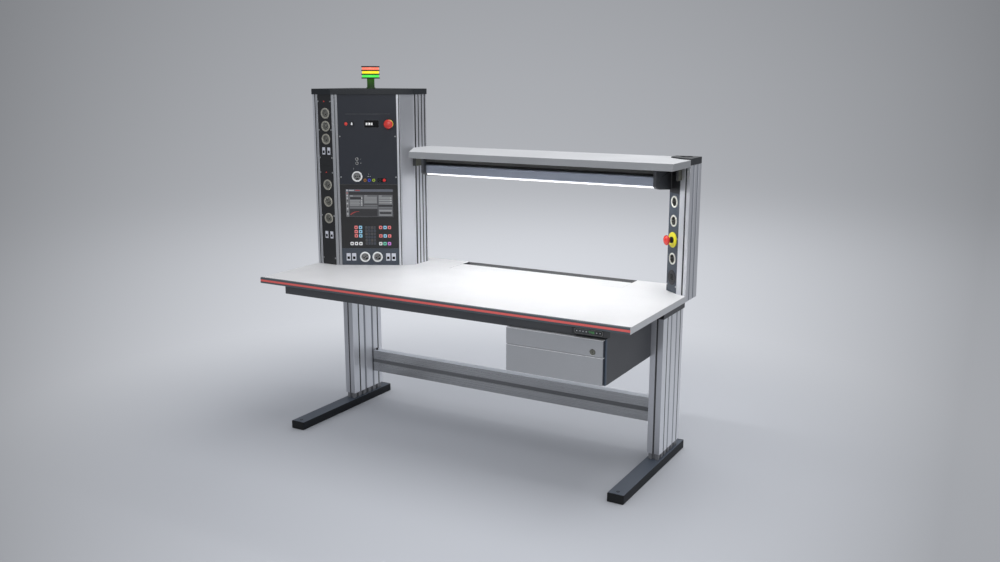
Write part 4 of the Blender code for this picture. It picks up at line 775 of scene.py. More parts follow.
GREEN_DIGIT = lit_finish("green_digit", (0.07, 0.40, 0.09), 0.4)
SEGMENTS = {"0": "abcdef", "2": "abged", "3": "abgcd", "4": "fgbc", "6": "afgedc", "7": "abc"}


def digit_blocks(text, width, height, pitch, bar, depth=0.0004):
    """Seven-segment digits as thin bars standing on a face."""
    half = height / 2
    bars = {"a": ((0, height - bar), (width, height)), "g": ((0, half - bar / 2), (width, half + bar / 2)),
            "d": ((0, 0), (width, bar)), "f": ((0, half), (bar, height)), "e": ((0, 0), (bar, half)),
            "b": ((width - bar, half), (width, height)), "c": ((width - bar, 0), (width, half))}
    return [((bars[segment][0][0] + index * pitch, bars[segment][0][1], -depth),
             (bars[segment][1][0] + index * pitch, bars[segment][1][1], depth / 2))
            for index, sign in enumerate(text) for segment in SEGMENTS[sign]]


low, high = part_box("handset")
HANDSET_FACE = face_frame((0, low.y), (1, 0))
RIM_LOW = (0.6740, 0.6975)
RIM_HIGH = (0.7905, 0.7172)
RIM_WIDTH = 0.0012
MARK_START = 0.685
MARK_PITCH = 0.013
dressed("handset_body", "handset", 0.0012, HANDSET_BLACK)
blocks("handset_window", [((0.680, 0.7015, -0.001), (0.7615, 0.7135, 0.0002))], WINDOW,
       0.0006, HANDSET_FACE)
outer = outline_of(rectangle(RIM_LOW, RIM_HIGH), {}, 0.0085)
inner = outline_of(rectangle(RIM_LOW, RIM_HIGH, RIM_WIDTH), {}, 0.0075)
rim = extrusion(outer, -0.0004, 0.0003, [inner[::-1]], where=HANDSET_FACE)
fitted("handset_rim", rim, RIM)
marks = []
for index in range(4):
    spot_x = MARK_START + MARK_PITCH * index
    marks += [((spot_x - 0.0007, 0.7056, 0), (spot_x + 0.0007, 0.7094, 0.0004)),
              ((spot_x - 0.0018, 0.7067, 0), (spot_x + 0.0018, 0.7083, 0.0003))]
blocks("handset_marks", marks, MARK_WHITE, where=HANDSET_FACE)
blocks("handset_digits", digit_blocks("746", 0.0056, 0.0086, 0.0085, 0.0011), GREEN_DIGIT,
       where=HANDSET_FACE @ Matrix.Translation((0.7335, 0.7031, 0.0002)))
for node, body, turn in (("key_up", "up_button", 90), ("key_down", "down_button", -90)):
    low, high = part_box(node)
    dressed(node + "_cap", node, 0.0006, HANDSET_BLACK, body)
    arrow = bmesh.new()
    bmesh.ops.create_cone(arrow, cap_ends=True, segments=3, radius1=0.0024, radius2=0.0024, depth=0.0004,
                          matrix=Matrix.Translation(((low.x + high.x) / 2, low.y, (low.z + high.z) / 2))
                          @ Matrix.Rotation(math.radians(90), 4, "X")
                          @ Matrix.Rotation(math.radians(turn), 4, "Z"))
    fitted(node + "_arrow", mesh_from(arrow), MARK_WHITE, body=body)

# Tower profiles
# The instrument tower stands on the desk. Three anodised extrusions frame its turned face, a
# folded graphite sheet closes its left side and back, and a dark plate covers its top.
DESK_TOP = 0.746
PAINTED_LIGHT_LEVELS = (DESK_TOP + 0.15, DESK_TOP + 0.70)
LIP = 0.0007
SEAM_SHARE = 0.78
SEAM_SLOT = (0.004, 0.003, 0.0004)
EDGE_SLOT = (0.003, 0.003, 0.0004)
RIGHT_START = 0.2070
RIGHT_DEPTH = 0.006
RIGHT_SLOTS = ((0.2205, 0.0120), (0.2477, 0.0090), (0.2750, 0.0090), (0.3000, 0.0100))
LID_RIM = 0.0026
LID_DROP = 0.004
# Painted light and shade: the right and turned sides take their own copies of the anodising, painted lighter
# near the desk and darker towards the top.
ANODISED_MIDDLE = drawn_finish("anodised_middle", (0.36, 0.37, 0.39), 0.34)
ANODISED_RIGHT_LIT = drawn_finish("anodised_right_painted_light", (0.60, 0.61, 0.65), 0.32, ramp=(*PAINTED_LIGHT_LEVELS, 1.35, 0.90))
ANODISED_TURNED_LIT = drawn_finish("anodised_turned_painted_light", (0.45, 0.46, 0.49), 0.36, ramp=(*PAINTED_LIGHT_LEVELS, 1.36, 0.80))
COVER_PAINT = painted_finish("tower_cover_paint", (0.060, 0.063, 0.070), 0.45, edge=0.1)
TOP_PLATE = painted_finish("tower_top_plate", (0.010, 0.013, 0.017), 0.48, 1200, 0.15, 0.15)
dressed("tower_corner_extrusion", "tower_corner_profile", LIP, ANODISED)
dressed("tower_middle_extrusion", "tower_middle_profile", LIP, ANODISED_MIDDLE)
low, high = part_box("tower_side_profile")
corners = [(-0.5207, 0.1481), (-0.5075, 0.1553), (-0.4690, 0.2020), (high.x, RIGHT_START),
           (high.x, high.y), (-0.5140, high.y), (-0.5140, 0.2320), (low.x, 0.1745)]
marks = {0: [(SEAM_SHARE, slot_points(*SEAM_SLOT))], 1: [(0.05, slot_points(*EDGE_SLOT))],
         3: [((middle - RIGHT_START) / (high.y - RIGHT_START), slot_points(width, RIGHT_DEPTH))
             for middle, width in RIGHT_SLOTS]}
hollow = rectangle((-0.509, 0.237), (-0.476, 0.307))
side = fitted("tower_side_extrusion",
              extrusion(outline_of(corners, marks, 0.0012), low.z, high.z, [hollow[::-1]]),
              [ANODISED, ANODISED_RIGHT_LIT, ANODISED_TURNED_LIT, SLOT_SHADE_STRIP],
              "tower_side_profile")
lip_start, lip_end = (Vector(spot) for spot in corners[:2])
seam = lip_start.lerp(lip_end, SEAM_SHARE)
lip_way = (lip_end - lip_start).normalized()
lip_in = Vector((-lip_way.y, lip_way.x))


def side_finish(face):
    """Painted shade in the seam, painted light on the right and the turned sides, plain anodising on the
    rest.
    """
    from_seam = face.center.xy - seam
    if abs(from_seam @ lip_way) < 0.0025 and 0.0005 < from_seam @ lip_in < 0.0035:
        return 3
    return 1 if face.normal.x > 0.9 else 2 if face.normal.x > 0.65 and face.normal.y < -0.5 else 0


sorted_faces(side, side_finish)
dressed("tower_sheet_cover", "tower_cover", 0.0005, COVER_PAINT)
lid = bmesh.new()
lid.from_mesh(mesh_from(cad_work("tower_top_plate")))
under = [face for face in lid.faces if face.normal.z < -0.9]
rim = bmesh.ops.inset_region(lid, faces=under, thickness=LID_RIM)["faces"]
dropped = bmesh.ops.extrude_face_region(lid, geom=rim)["geom"]
bmesh.ops.delete(lid, geom=rim, context="FACES_ONLY")
bmesh.ops.translate(lid, verts=[item for item in dropped if isinstance(item, bmesh.types.BMVert)],
                    vec=(0, 0, -LID_DROP))
fitted("tower_lid", mesh_from(lid, 0.0008), TOP_PLATE, "tower_top_plate")
dressed("supply_box", "power_supply", 0.001, STEEL)

# Slots of the tower
# Near-black strips in the screw slots of the tower's extrusions are painted shade, and two narrow
# lips of aluminium stand beside them.
SLOT_END = 0.0005
TOWER_TURN = math.radians(28.6)
low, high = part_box("screen_panel")
tower_way = (math.cos(TOWER_TURN), math.sin(TOWER_TURN))
TOWER_FACE = face_frame((low.x + 0.003 * tower_way[1] - 0.0003 * tower_way[0],
                         low.y - 0.0003 * tower_way[1]), tower_way)
tower_low, tower_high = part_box("tower_side_profile")
slots = bmesh.new()
fillers = bmesh.new()
for work, face, start, end, sunk, out in (
        [(slots, face_frame((-0.8825, 0.0), (1, 0)), -0.0028, 0.0028, -0.0016, 0.0002),
         (fillers, face_frame((-0.8746, 0.0), (1, 0)), -0.0026, 0.0026, -0.0016, 0.0001),
         (slots, TOWER_FACE, -0.0146, -0.0094, -0.0016, 0.0002),
         (fillers, TOWER_FACE, -0.0170, -0.0145, -0.0016, 0.0001)]
        + [(slots, face_frame((tower_high.x, middle), (0, 1)), 0.0001 - width / 2, width / 2 - 0.0001,
            -0.0032, -0.0014) for middle, width in RIGHT_SLOTS]):
    add_block(work, (start, tower_low.z + SLOT_END, sunk), (end, tower_high.z - SLOT_END, out), face)
fitted("tower_slot_fillers", mesh_from(fillers), ANODISED_MIDDLE)
# The near-black strips stand for the shade inside the slots.
fitted("tower_slot_strips", mesh_from(slots, STRIP_EASE), SLOT_SHADE_STRIP)

# Screws
# Zinc-plated pan-head screws hold the strips, the panels and the sheet cover. They are set
# out by Geometry Nodes from the list of their places.
SETTING_OUT = bpy.data.node_groups.new("setting_out", "GeometryNodeTree")
sockets = {}
for label, kind in (("Places", "Geometry"), ("Piece", "Object"), ("Size", "Float"), ("Finish", "Material")):
    made = SETTING_OUT.interface.new_socket(label, in_out="INPUT", socket_type="NodeSocket" + kind)
    sockets[label] = made.identifier
SETTING_OUT.interface.new_socket("Pieces", in_out="OUTPUT", socket_type="NodeSocketGeometry")
given = SETTING_OUT.nodes.new("NodeGroupInput").outputs
pattern = add_node(SETTING_OUT, "GeometryNodeObjectInfo", {"Object": given["Piece"]})
angles = add_node(SETTING_OUT, "GeometryNodeInputNamedAttribute", {"Name": "lie"}, data_type="FLOAT_VECTOR")
turn = add_node(SETTING_OUT, "FunctionNodeEulerToRotation", {0: angles.outputs["Attribute"]})
spread = add_node(SETTING_OUT, "GeometryNodeInstanceOnPoints",
                  {"Points": given["Places"], "Instance": pattern.outputs["Geometry"],
                   "Rotation": turn.outputs[0], "Scale": given["Size"]})
real = add_node(SETTING_OUT, "GeometryNodeRealizeInstances", {"Geometry": spread.outputs[0]})
finished = add_node(SETTING_OUT, "GeometryNodeSetMaterial",
                    {"Geometry": real.outputs[0], "Material": given["Finish"]})
add_node(SETTING_OUT, "NodeGroupOutput", {0: finished.outputs[0]})


def set_out(name, pattern, places, finish, tints=(), size=1.0):
    """Copies of a small mesh at the places, each a matrix, as one piece; tints colours each copy."""
    seat = bpy.data.meshes.new(name + "_places")
    seat.from_pydata([tuple(place.translation) for place in places], [], [])
    lie = seat.attributes.new("lie", "FLOAT_VECTOR", "POINT")
    lie.data.foreach_set("vector", [angle for place in places for angle in place.to_euler()])
    if tints:
        tint = seat.attributes.new("tint", "FLOAT_COLOR", "POINT")
        tint.data.foreach_set("color", [channel for colour in tints for channel in (*colour, 1.0)])
    holder = standing(name + "_places", seat)
    model = standing(name + "_pattern", pattern)
    step = holder.modifiers.new("setting_out", "NODES")
    step.node_group = SETTING_OUT
    for label, value in (("Piece", model), ("Size", size), ("Finish", finish)):
        step[sockets[label]] = value
    return fitted(name, settled(holder, model), finish)


def on_face(face, across, up, turn=0.0, out=0.0):
    return face @ Matrix.Translation((across, up, out)) @ Matrix.Rotation(turn, 4, "Z")


def grid(face, acrosses, ups, turn_by=0.0):
    """Places on a face, row by row for each place across it; turn_by turns each by its height."""
    return [on_face(face, across, up, up * turn_by) for across in acrosses for up in ups]


POST_TURN = math.radians(-40.4)
low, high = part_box("socket_strip_upper")
STRIP_FACE = face_frame((-0.9, low.y), (1, 0))
low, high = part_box("post_panel")
post_way = (math.cos(POST_TURN), math.sin(POST_TURN))
POST_FACE = face_frame((low.x, high.y - 0.022 * post_way[0]), post_way)
low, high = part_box("tower_cover")
COVER_SIDE = face_frame((low.x, 0.0), (0, -1))
COVER_BACK = face_frame((0.0, high.y), (-1, 0))


def ring_of(work, radius, level, sides=24, step=1, flute=0.0):
    """A ring of points; a step gathers them at fewer corners, and a flute draws in every second one."""
    turns = [math.tau * (index // step) / (sides // step) for index in range(sides)]
    reaches = [radius - flute * (index % 2) for index in range(sides)]
    return [work.verts.new((reach * math.cos(turn), reach * math.sin(turn), level))
            for reach, turn in zip(reaches, turns)]


def bridge(work, rings):
    for below, above in zip(rings, rings[1:]):
        for i in range(len(below)):
            work.faces.new((below[i - 1], below[i], above[i], above[i - 1]))


screw = bmesh.new()
rings = [ring_of(screw, radius, level, 24, step) for radius, level, step in (
    (0.0035, 0.0, 1), (0.0035, 0.0011, 1), (0.0029, 0.0018, 1), (0.0015, 0.0018, 4), (0.0015, 0.0007, 4))]
bridge(screw, rings)
screw.faces.new(rings[-1])
screw.faces.new(rings[0][::-1])
bmesh.ops.dissolve_degenerate(screw, edges=screw.edges, dist=FINE_MERGE)
screw_pattern = mesh_from(screw, merge=FINE_MERGE)
screws = grid(STRIP_FACE, (0.0352, 0.1068), (1.522, 1.390, 1.260, 1.190, 0.984, 0.778), 37)
screws += grid(TOWER_FACE, (0.0075, 0.2685), (1.361, 1.170), 53)
screws += grid(POST_FACE, (0.0055, 0.0765), (0.978, 0.775, 1.235), 41)
set_out("panel_screws", screw_pattern, screws, STEEL)
screws = grid(COVER_SIDE, (-0.085, -0.297), (0.79, 1.15, 1.52), 29)
screws += grid(COVER_BACK, (0.53, 0.70, 0.88), (0.79, 1.52), 29)
set_out("cover_screws", screw_pattern, screws, STEEL)

# Socket strips and panels
# Black plastic strips carry the mains and data sockets of the left face. The turned face has
# three dark anodised panels: supply above, screen and safety sockets below, outlets lowest.
PANEL = {"grain": 1100, "relief": 0.2, "edge": 0.25}
STRIP_BLACK = painted_finish("socket_strip_black", (0.014, 0.015, 0.017), 0.42, 1400, 0.25, 0.10)
PANEL_BLUE = painted_finish("supply_panel_anodised", (0.013, 0.0165, 0.026), 0.48, **PANEL)
PANEL_WARM = painted_finish("screen_panel_anodised", (0.014, 0.014, 0.015), 0.46, **PANEL)
PANEL_SLATE = painted_finish("outlet_panel_anodised", (0.046, 0.059, 0.079), 0.42, **PANEL)
PANEL_EASE = 0.0004
SUPPLY_CUTS = (((0.037, 1.4642, -0.0014), (0.246, 1.4658, 0.002)),
               ((0.1245, 1.4015, -0.0016), (0.1935, 1.4365, 0.002)))


def cut_out(work, corners, where):
    """Blocks, each given by two corners of a frame, cut from a bmesh."""
    tools = bmesh.new()
    for low, high in corners:
        add_block(tools, low, high, where)
    tool = standing("tool", filled(tools))
    holder = standing("holder", filled(work))
    step = holder.modifiers.new("cut", "BOOLEAN")
    step.operation = "DIFFERENCE"
    step.solver = "EXACT"
    step.object = tool
    done = bmesh.new()
    done.from_mesh(settled(holder, tool))
    return done


for word in ("lower", "upper"):
    dressed("socket_unit_" + word, "socket_strip_" + word, 0.0006, STRIP_BLACK)
supply = mesh_from(cut_out(cad_work("supply_panel"), SUPPLY_CUTS, TOWER_FACE), PANEL_EASE)
fitted("supply_front", supply, PANEL_BLUE, "supply_panel")
for word, finish, ease in (("screen", PANEL_WARM, PANEL_EASE), ("outlet", PANEL_SLATE, PANEL_EASE),
                           ("post", PANEL_SLATE, 0.0005)):
    dressed(word + "_front", word + "_panel", ease, finish)

# Mains sockets
# Round recessed sockets: a light moulded ring, a grey cup with two pin holes and a centre
# screw, and sprung earth clips at two sides.
MOULDED = {"grain": 1500, "relief": 0.1, "edge": 0.2}
CUP = {"grain": 1300, "relief": 0.2, "edge": 0.2}
RING_CREAM = painted_finish("socket_ring", (0.34, 0.33, 0.285), 0.35, **MOULDED)
RING_WHITE = painted_finish("socket_ring_white", (0.84, 0.85, 0.85), 0.35, **MOULDED)
RING_IVORY = painted_finish("socket_ring_ivory", (0.66, 0.66, 0.60), 0.35, **MOULDED)
CUP_GREY = painted_finish("socket_cup", (0.26, 0.26, 0.24), 0.45, **CUP)
CUP_DARK = painted_finish("socket_cup_dark", (0.085, 0.085, 0.080), 0.45, **CUP)
CUP_LIGHT = painted_finish("socket_cup_light", (0.30, 0.30, 0.30), 0.45, **CUP)
SOCKET_BLACK = painted_finish("socket_black", (0.006, 0.006, 0.007), 0.5, 1300, 0.2, 0.05, gloss=0.15)
SLANT = math.radians(38)
OUTLET_UP = 0.786
ring_pattern = lathe([(17.6, -13.6), (18.3, 2), (19.2, 3), (21.5, 3.6), (24, 3), (24.9, 1.8), (25, 0),
                      (25, -0.5), (19.2, -0.5), (19, -14), (17.6, -14)], 48, True)
cup_pattern = lathe([(0, -13.8), (16.8, -13.8), (17.5, 0.6), (18.1, 0.8), (18.4, -1), (18, -13.9),
                     (17.6, -14.7), (0, -14.7)], 48)
holes = bmesh.new()
for across, radius in ((-0.0095, 0.0030), (0.0095, 0.0030), (0.0, 0.0024)):
    bmesh.ops.create_cone(holes, cap_ends=True, segments=20, radius1=radius, radius2=radius, depth=0.0012,
                          matrix=Matrix.Translation((across, 0.0, -0.0136)))
add_block(holes, (-0.0055, -0.0155, -0.0138), (0.0045, -0.0090, -0.0100))
hole_pattern = mesh_from(holes)
clips = bmesh.new()
for end in (-1, 1):
    add_block(clips, (-0.0028, end * 0.0172, -0.0135), (0.0028, end * 0.0180, 0.0002))
    add_block(clips, (-0.0028, end * 0.0155, -0.0080), (0.0028, end * 0.0176, -0.0070))
clip_pattern = mesh_from(clips, 0.0002)
for group, spots, ring, cup in (
        ("strip", [on_face(STRIP_FACE, 0.0750, up, SLANT)
                   for up in (0.9713, 1.0513, 1.1313, 1.3472, 1.4072, 1.4672)], RING_CREAM, CUP_GREY),
        ("post", [on_face(POST_FACE, 0.043, up, math.radians(90)) for up in (0.8895, 1.0495, 1.1295)],
         RING_IVORY, CUP_DARK),
        ("outlet", [on_face(TOWER_FACE, across, OUTLET_UP, SLANT) for across in (0.1110, 0.1710)],
         RING_WHITE, CUP_LIGHT),
        ("panel", [on_face(TOWER_FACE, 0.0837, 1.1728)], RING_WHITE, CUP_LIGHT)):
    for label, mesh, finish, slot in (("rings", ring_pattern, ring, "shelf_laminate"),
                                      ("cups", cup_pattern, cup, "black_plastic"),
                                      ("holes", hole_pattern, SOCKET_BLACK, "black_plastic"),
                                      ("clips", clip_pattern, STEEL, "zinc_steel")):
        set_out(group + "_socket_" + label, mesh, spots, finish)

# Data sockets
# Pairs of data sockets: a pale rectangular frame around a black port in its lower half.
DATA_PALE = painted_finish("data_socket_frame", (0.64, 0.66, 0.73), 0.4, 1400, 0.1, 0.2)


def flat_plate(width, height, radius, depth, ease=0.0004):
    """A plate with rounded corners, standing on its face."""
    corners = rectangle((-width / 2, -height / 2), (width / 2, height / 2))
    return extrusion(outline_of(corners, {}, radius), 0.0, depth, ease=ease)


for group, width, height, radius, spots in (
        ("strip", 0.017, 0.034, 0.0015, grid(STRIP_FACE, (0.0593, 0.0898), (1.2915, 0.891))),
        ("outlet", 0.020, 0.036, 0.0018, grid(TOWER_FACE, (0.0314, 0.0580, 0.2224, 0.2494), (OUTLET_UP,)))):
    port = bmesh.new()
    add_block(port, (-width * 0.30, -height * 0.30, 0.0004), (width * 0.30, height * 0.06, 0.0022))
    plate = flat_plate(width, height, radius, 0.0015)
    set_out(group + "_data_frames", plate, spots, DATA_PALE)
    set_out(group + "_data_ports", mesh_from(port, 0.0004), spots, SOCKET_BLACK)

# Lamps and small jacks
# Red indicator lamps, signal jacks with white rings and a row of coloured laboratory sockets
# in the supply panel.
RED_LAMP = lit_finish("red_indicator", (0.62, 0.045, 0.035), 0.40)
TINTED = worked_finish("tinted_moulding", FINE_GRAIN, None, 0.35, 0.1, (1400.0,) * 3, {})[0]
BROWN = (0.36, 0.15, 0.04)
BLUE = (0.04, 0.06, 0.66)
LIME = (0.36, 0.50, 0.04)
RED = (0.85, 0.03, 0.03)
BLACK = (0.012, 0.012, 0.013)
WHITE_TINT = (0.70, 0.70, 0.70)
JACKS = ((0.121, BROWN), (0.141, BLUE), (0.162, LIME), (0.1915, BLACK), (0.2125, RED))
JACK_UP = 1.1555
dome = lathe([(0, 4.2), (2.2, 3.8), (3.4, 2.6), (3.8, 0.8), (3.8, -0.4), (0, -0.4)], 24)
button = lathe([(0, 4.5), (5, 4.2), (6.6, 3), (7, 1), (7, -0.4), (0, -0.4)], 32)
jack_ring = lathe([(3, 0), (3, 2), (4, 2.8), (6.4, 2.6), (7.2, 1.4), (7.4, -0.4), (3, -0.4)], 32, True)
jack_plug = lathe([(0, 0.6), (3, 0.6), (3.2, -0.4), (0, -0.4)], 24)
thin_ring = lathe([(5.2, 0), (5.2, 1.6), (6, 2.2), (6.8, 1.4), (6.8, -0.4), (5.2, -0.4)], 32, True)
wide_plug = lathe([(0, 0.6), (5.2, 0.6), (5.3, -0.4), (0, -0.4)], 24)
set_out("strip_indicators", dome, grid(STRIP_FACE, (0.070,), (1.522, 1.191)), RED_LAMP, size=0.75)
set_out("supply_indicator", button, [on_face(TOWER_FACE, 0.0386, 1.4193)], RED_LAMP, size=1.1)
spots = [on_face(TOWER_FACE, across, JACK_UP) for across, colour in JACKS]
set_out("supply_jack_rings", jack_ring, spots, TINTED, [colour for across, colour in JACKS])
set_out("supply_jack_holes", jack_plug, spots[:4], SOCKET_BLACK)
set_out("supply_jack_core", wide_plug, [on_face(TOWER_FACE, JACKS[-1][0], JACK_UP, 0.0, 0.0025)], TINTED,
        [RED])
blocks("supply_jack_plate", [((0.181, 1.1465, -0.0003), (0.223, 1.1645, 0.0008))], SOCKET_BLACK,
       0.0004, TOWER_FACE)
signal = grid(TOWER_FACE, (0.085,), (1.255, 1.236))
set_out("signal_jack_rings", thin_ring, signal, TINTED, [WHITE_TINT] * 2)
set_out("signal_jack_holes", wide_plug, signal, SOCKET_BLACK)
dashes = ((0.103, 1.255, 0.002), (0.103, 1.236, 0.003), (0.068, 1.2095, 0.003), (0.139, 1.1840, 0.0028),
          (0.136, 1.1735, 0.005), (0.146, 1.1735, 0.003))
blocks("supply_marks", [((across - wide / 2, up - 0.0009, -0.0002), (across + wide / 2, up + 0.0009, 0.0003))
                        for across, up, wide in dashes], MARK_WHITE, where=TOWER_FACE)

# Safety sockets and keypad
# Square safety sockets in red, blue, white, green and violet stand on both sides of a keypad
# of twenty-four low keys.
LIGHT_RED = (0.92, 0.25, 0.24)
LIGHT_BLUE = (0.36, 0.70, 0.92)
PALE = (0.88, 0.88, 0.88)
GREEN = (0.18, 0.66, 0.46)
VIOLET = (0.72, 0.26, 0.78)
KEY_START = (0.1205, 0.8515)
KEY_PITCH = (0.0133, 0.0155)
KEY_TONES = ((0.060, 0.062, 0.072), (0.085, 0.075, 0.072), (0.05, 0.058, 0.078), (0.075, 0.075, 0.078))
UPPER_UP, MIDDLE_UP, LOWER_UP, LOWEST_UP = 0.9296, 0.909, 0.8885, 0.851
left_pair = ((0.0715, LIGHT_RED), (0.0927, LIGHT_BLUE))
right_three = ((0.1895, LIGHT_RED), (0.2105, LIGHT_BLUE), (0.2315, LIGHT_RED))
lowest_row = ((0.050, PALE), (0.071, PALE), (0.0924, PALE), (0.188, PALE), (0.2086, GREEN), (0.230, VIOLET))
rows = ((UPPER_UP, left_pair), (MIDDLE_UP, left_pair), (LOWER_UP, left_pair), (UPPER_UP, right_three),
        (LOWER_UP, right_three), (LOWEST_UP, lowest_row))
places = [on_face(TOWER_FACE, across, up) for up, row in rows for across, colour in row]
tints = [colour for up, row in rows for across, colour in row]
core = lathe([(0, 3.6), (2.4, 3.6), (2.8, 3.9), (3.2, 3.9), (3.4, 3.4), (3.4, 0), (0, 0)], 28)
bezel = flat_plate(0.0158, 0.0158, 0.0035, 0.0018, 0.0005)
set_out("safety_socket_bezels", bezel, places, TINTED, tints)
set_out("safety_socket_cores", core, places, SOCKET_BLACK)
cells = [(column, line) for column in range(4) for line in range(6)]
keys = [on_face(TOWER_FACE, KEY_START[0] + column * KEY_PITCH[0], KEY_START[1] + line * KEY_PITCH[1])
        for column, line in cells]
set_out("keypad_keys", flat_plate(0.0105, 0.0125, 0.0015, 0.0010, 0.0003), keys, TINTED,
        [KEY_TONES[(column * 2 + line * 3 + column * line) % 4] for column, line in cells])

# Display and touch screen
# A small black display shows three white digits in the supply panel. The touch screen below
# shows plain panels, rows and one curve, all without words.
GLASS_BLACK = painted_finish("screen_glass", (0.004, 0.004, 0.005), 0.20, 600, 0.0, 0.05, gloss=0.2)
WHITE_DIGIT = lit_finish("white_digit", (0.95, 0.95, 0.95), 0.6)
SCREEN_PICTURE = lit_finish("screen_picture", None, 0.55, 0.22, 0.3, 1800.0, 0.10, 0.95)
blocks("display_glass", [((0.1255, 1.4025, -0.0014), (0.1925, 1.4355, 0.0006))], GLASS_BLACK,
       0.0004, TOWER_FACE)
blocks("display_digits", digit_blocks("230", 0.0080, 0.0105, 0.0118, 0.0026), WHITE_DIGIT,
       where=TOWER_FACE @ Matrix.Translation((0.1320, 1.4138, 0.0007)))
dressed("screen_glass_plate", "touch_screen", 0.0006, GLASS_BLACK)
INK = (0.035, 0.035, 0.038)
GROUND = (0.085, 0.087, 0.095)
BAR = (0.13, 0.14, 0.17)
FIELD = (0.16, 0.165, 0.175)
SIDE_COLUMN = (0.22, 0.225, 0.235)
LINE = (0.30, 0.31, 0.32)
TEXT = (0.55, 0.56, 0.58)
CURVE = (0.38, 0.06, 0.06)
LIT_WIDTH = 0.2242
LIT_HEIGHT = 0.1320
LIT_AREA = TOWER_FACE @ Matrix.Translation((0.0274, 0.9808, 0.0008))
TILE_LIFT = 0.00022
TILE_STEP = 0.000004
TILE_DEPTH = 0.00012
# Each tile has its left, top, right and bottom in thousandths of the lit area, and its colour.
tiles = [(0, 0, 1000, 90, BAR), (0, 90, 55, 1000, SIDE_COLUMN), (55, 90, 1000, 200, INK),
         (55, 200, 1000, 1000, GROUND), (12, 15, 42, 70, TEXT), (65, 30, 175, 55, TEXT),
         (200, 28, 300, 60, CURVE), (70, 720, 665, 975, INK), (70, 640, 665, 700, FIELD),
         (690, 640, 985, 700, FIELD)]
for index in range(9):
    top = 120 + index * 95
    tiles.append((14, top, 42, top + 35, (CURVE, TEXT, INK)[min(index, 1 + index % 2)]))
for left, right in ((70, 355), (380, 665), (690, 985)):
    tiles += [(left, 220, right, 620, FIELD), (left + 15, 235, left + 75, 250, TEXT)]
tiles += [(85, 285, 320, 365, INK), (330, 285, 345, 365, TEXT)]
for index in range(4):
    top = 400 + index * 53
    tiles += [(80, top, 300 - 20 * (index % 2), top + 30, LINE), (318, top, 346, top + 30, TEXT)]
tiles += [(390, top, 655, top + 26, LINE) for top in range(285, 285 + 5 * 47, 47)]
tiles.append((380, 530, 665, 555, INK))
for top in (290, 375, 460):
    tiles += [(700, top, 970, top + 50, LINE), (945, top + 8, 965, top + 40, TEXT)]
tiles += [(690, 565, 985, 625, INK), (690, 720, 985, 975, FIELD), (700, 745, 970, 800, LINE),
          (715, 830, 955, 890, INK), (700, 920, 970, 950, LINE)]
curve = [(85, 925), (110, 895), (140, 860), (170, 835), (200, 820), (235, 812), (270, 808)]
tiles += [(x0, y1 - 4, x1 + 4, y0 + 4, CURVE) for (x0, y0), (x1, y1) in zip(curve, curve[1:])]
picture = bmesh.new()
layer = picture.verts.layers.float_color.new("tint")
for index, (left, top, right, bottom, colour) in enumerate(tiles):
    lift = TILE_LIFT + index * TILE_STEP
    low = (left * LIT_WIDTH / 1000, (1 - bottom / 1000) * LIT_HEIGHT, lift)
    high = (right * LIT_WIDTH / 1000, (1 - top / 1000) * LIT_HEIGHT, lift + TILE_DEPTH)
    for vert in add_block(picture, low, high, LIT_AREA):
        vert[layer] = (*colour, 1.0)
fitted("screen_picture", filled(picture), SCREEN_PICTURE)

# Key switch
# A black ring on the tower's face holds a pale, drop-shaped grip. Both turn a quarter of a
# turn.
KEY_WHITE = painted_finish("key_white", (0.85, 0.86, 0.87), 0.4, relief=0.05, edge=0.0)
low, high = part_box("key_switch")
control_z = (low.z + high.z) / 2
KEY_SPOT = on_face(TOWER_FACE, 0.0673, control_z)
key_ring = [(0, 6), (6.2, 6), (7, 7.4), (8.4, 7.4), (9, 6), (9, 0.4), (6, 0.4), (6, -2.9), (0, -2.9)]
fitted("key_switch_ring", lathe(key_ring, where=KEY_SPOT), CAP_PLASTIC, "key_switch", "key")
drop = [(0.0044 * math.cos(math.radians(angle)), 0.0044 * math.sin(math.radians(angle)) - 0.0016)
        for angle in range(-205, 26, 10)]
grip = extrusion(drop + [(0.0010, 0.0080), (-0.0010, 0.0080)], 0.0052, 0.0118, ease=0.0007, where=KEY_SPOT)
fitted("key_switch_grip", grip, KEY_WHITE, body="key")

# Emergency stops
# A yellow collar, a ribbed black stem that slides in and a red mushroom head that twists to
# release, on the tower's face and on the post.
STOP_RED = painted_finish("stop_red", (0.66, 0.035, 0.025), 0.28, relief=0.03, edge=0.15, coat=0.4)
STOP_YELLOW = painted_finish("stop_yellow", (0.72, 0.68, 0.03), 0.38, 1300, 0.1, 0.1)
BOSS = [(9.2, 4.6), (9.2, 11.8), (12.2, 11.8), (13, 11), (13.4, 4.6)]
BELLOWS = [(0, 20.2)]
for top in (19.8, 17.0, 14.2, 11.4, 8.6):
    BELLOWS += [(7.8, top), (7.8, top - 1.2), (6.6, top - 1.6), (6.6, top - 2.4)]
BELLOWS += [(7.8, 5.5), (7.8, -1.8), (0, -1.8)]
MUSHROOM = [(0, 40), (6, 39.8), (12, 38.8), (17, 37), (20, 34.6), (21.2, 31.6), (21.2, 28.9), (19.6, 26.4),
            (15, 23.4), (12.8, 20.4), (0, 20.4)]
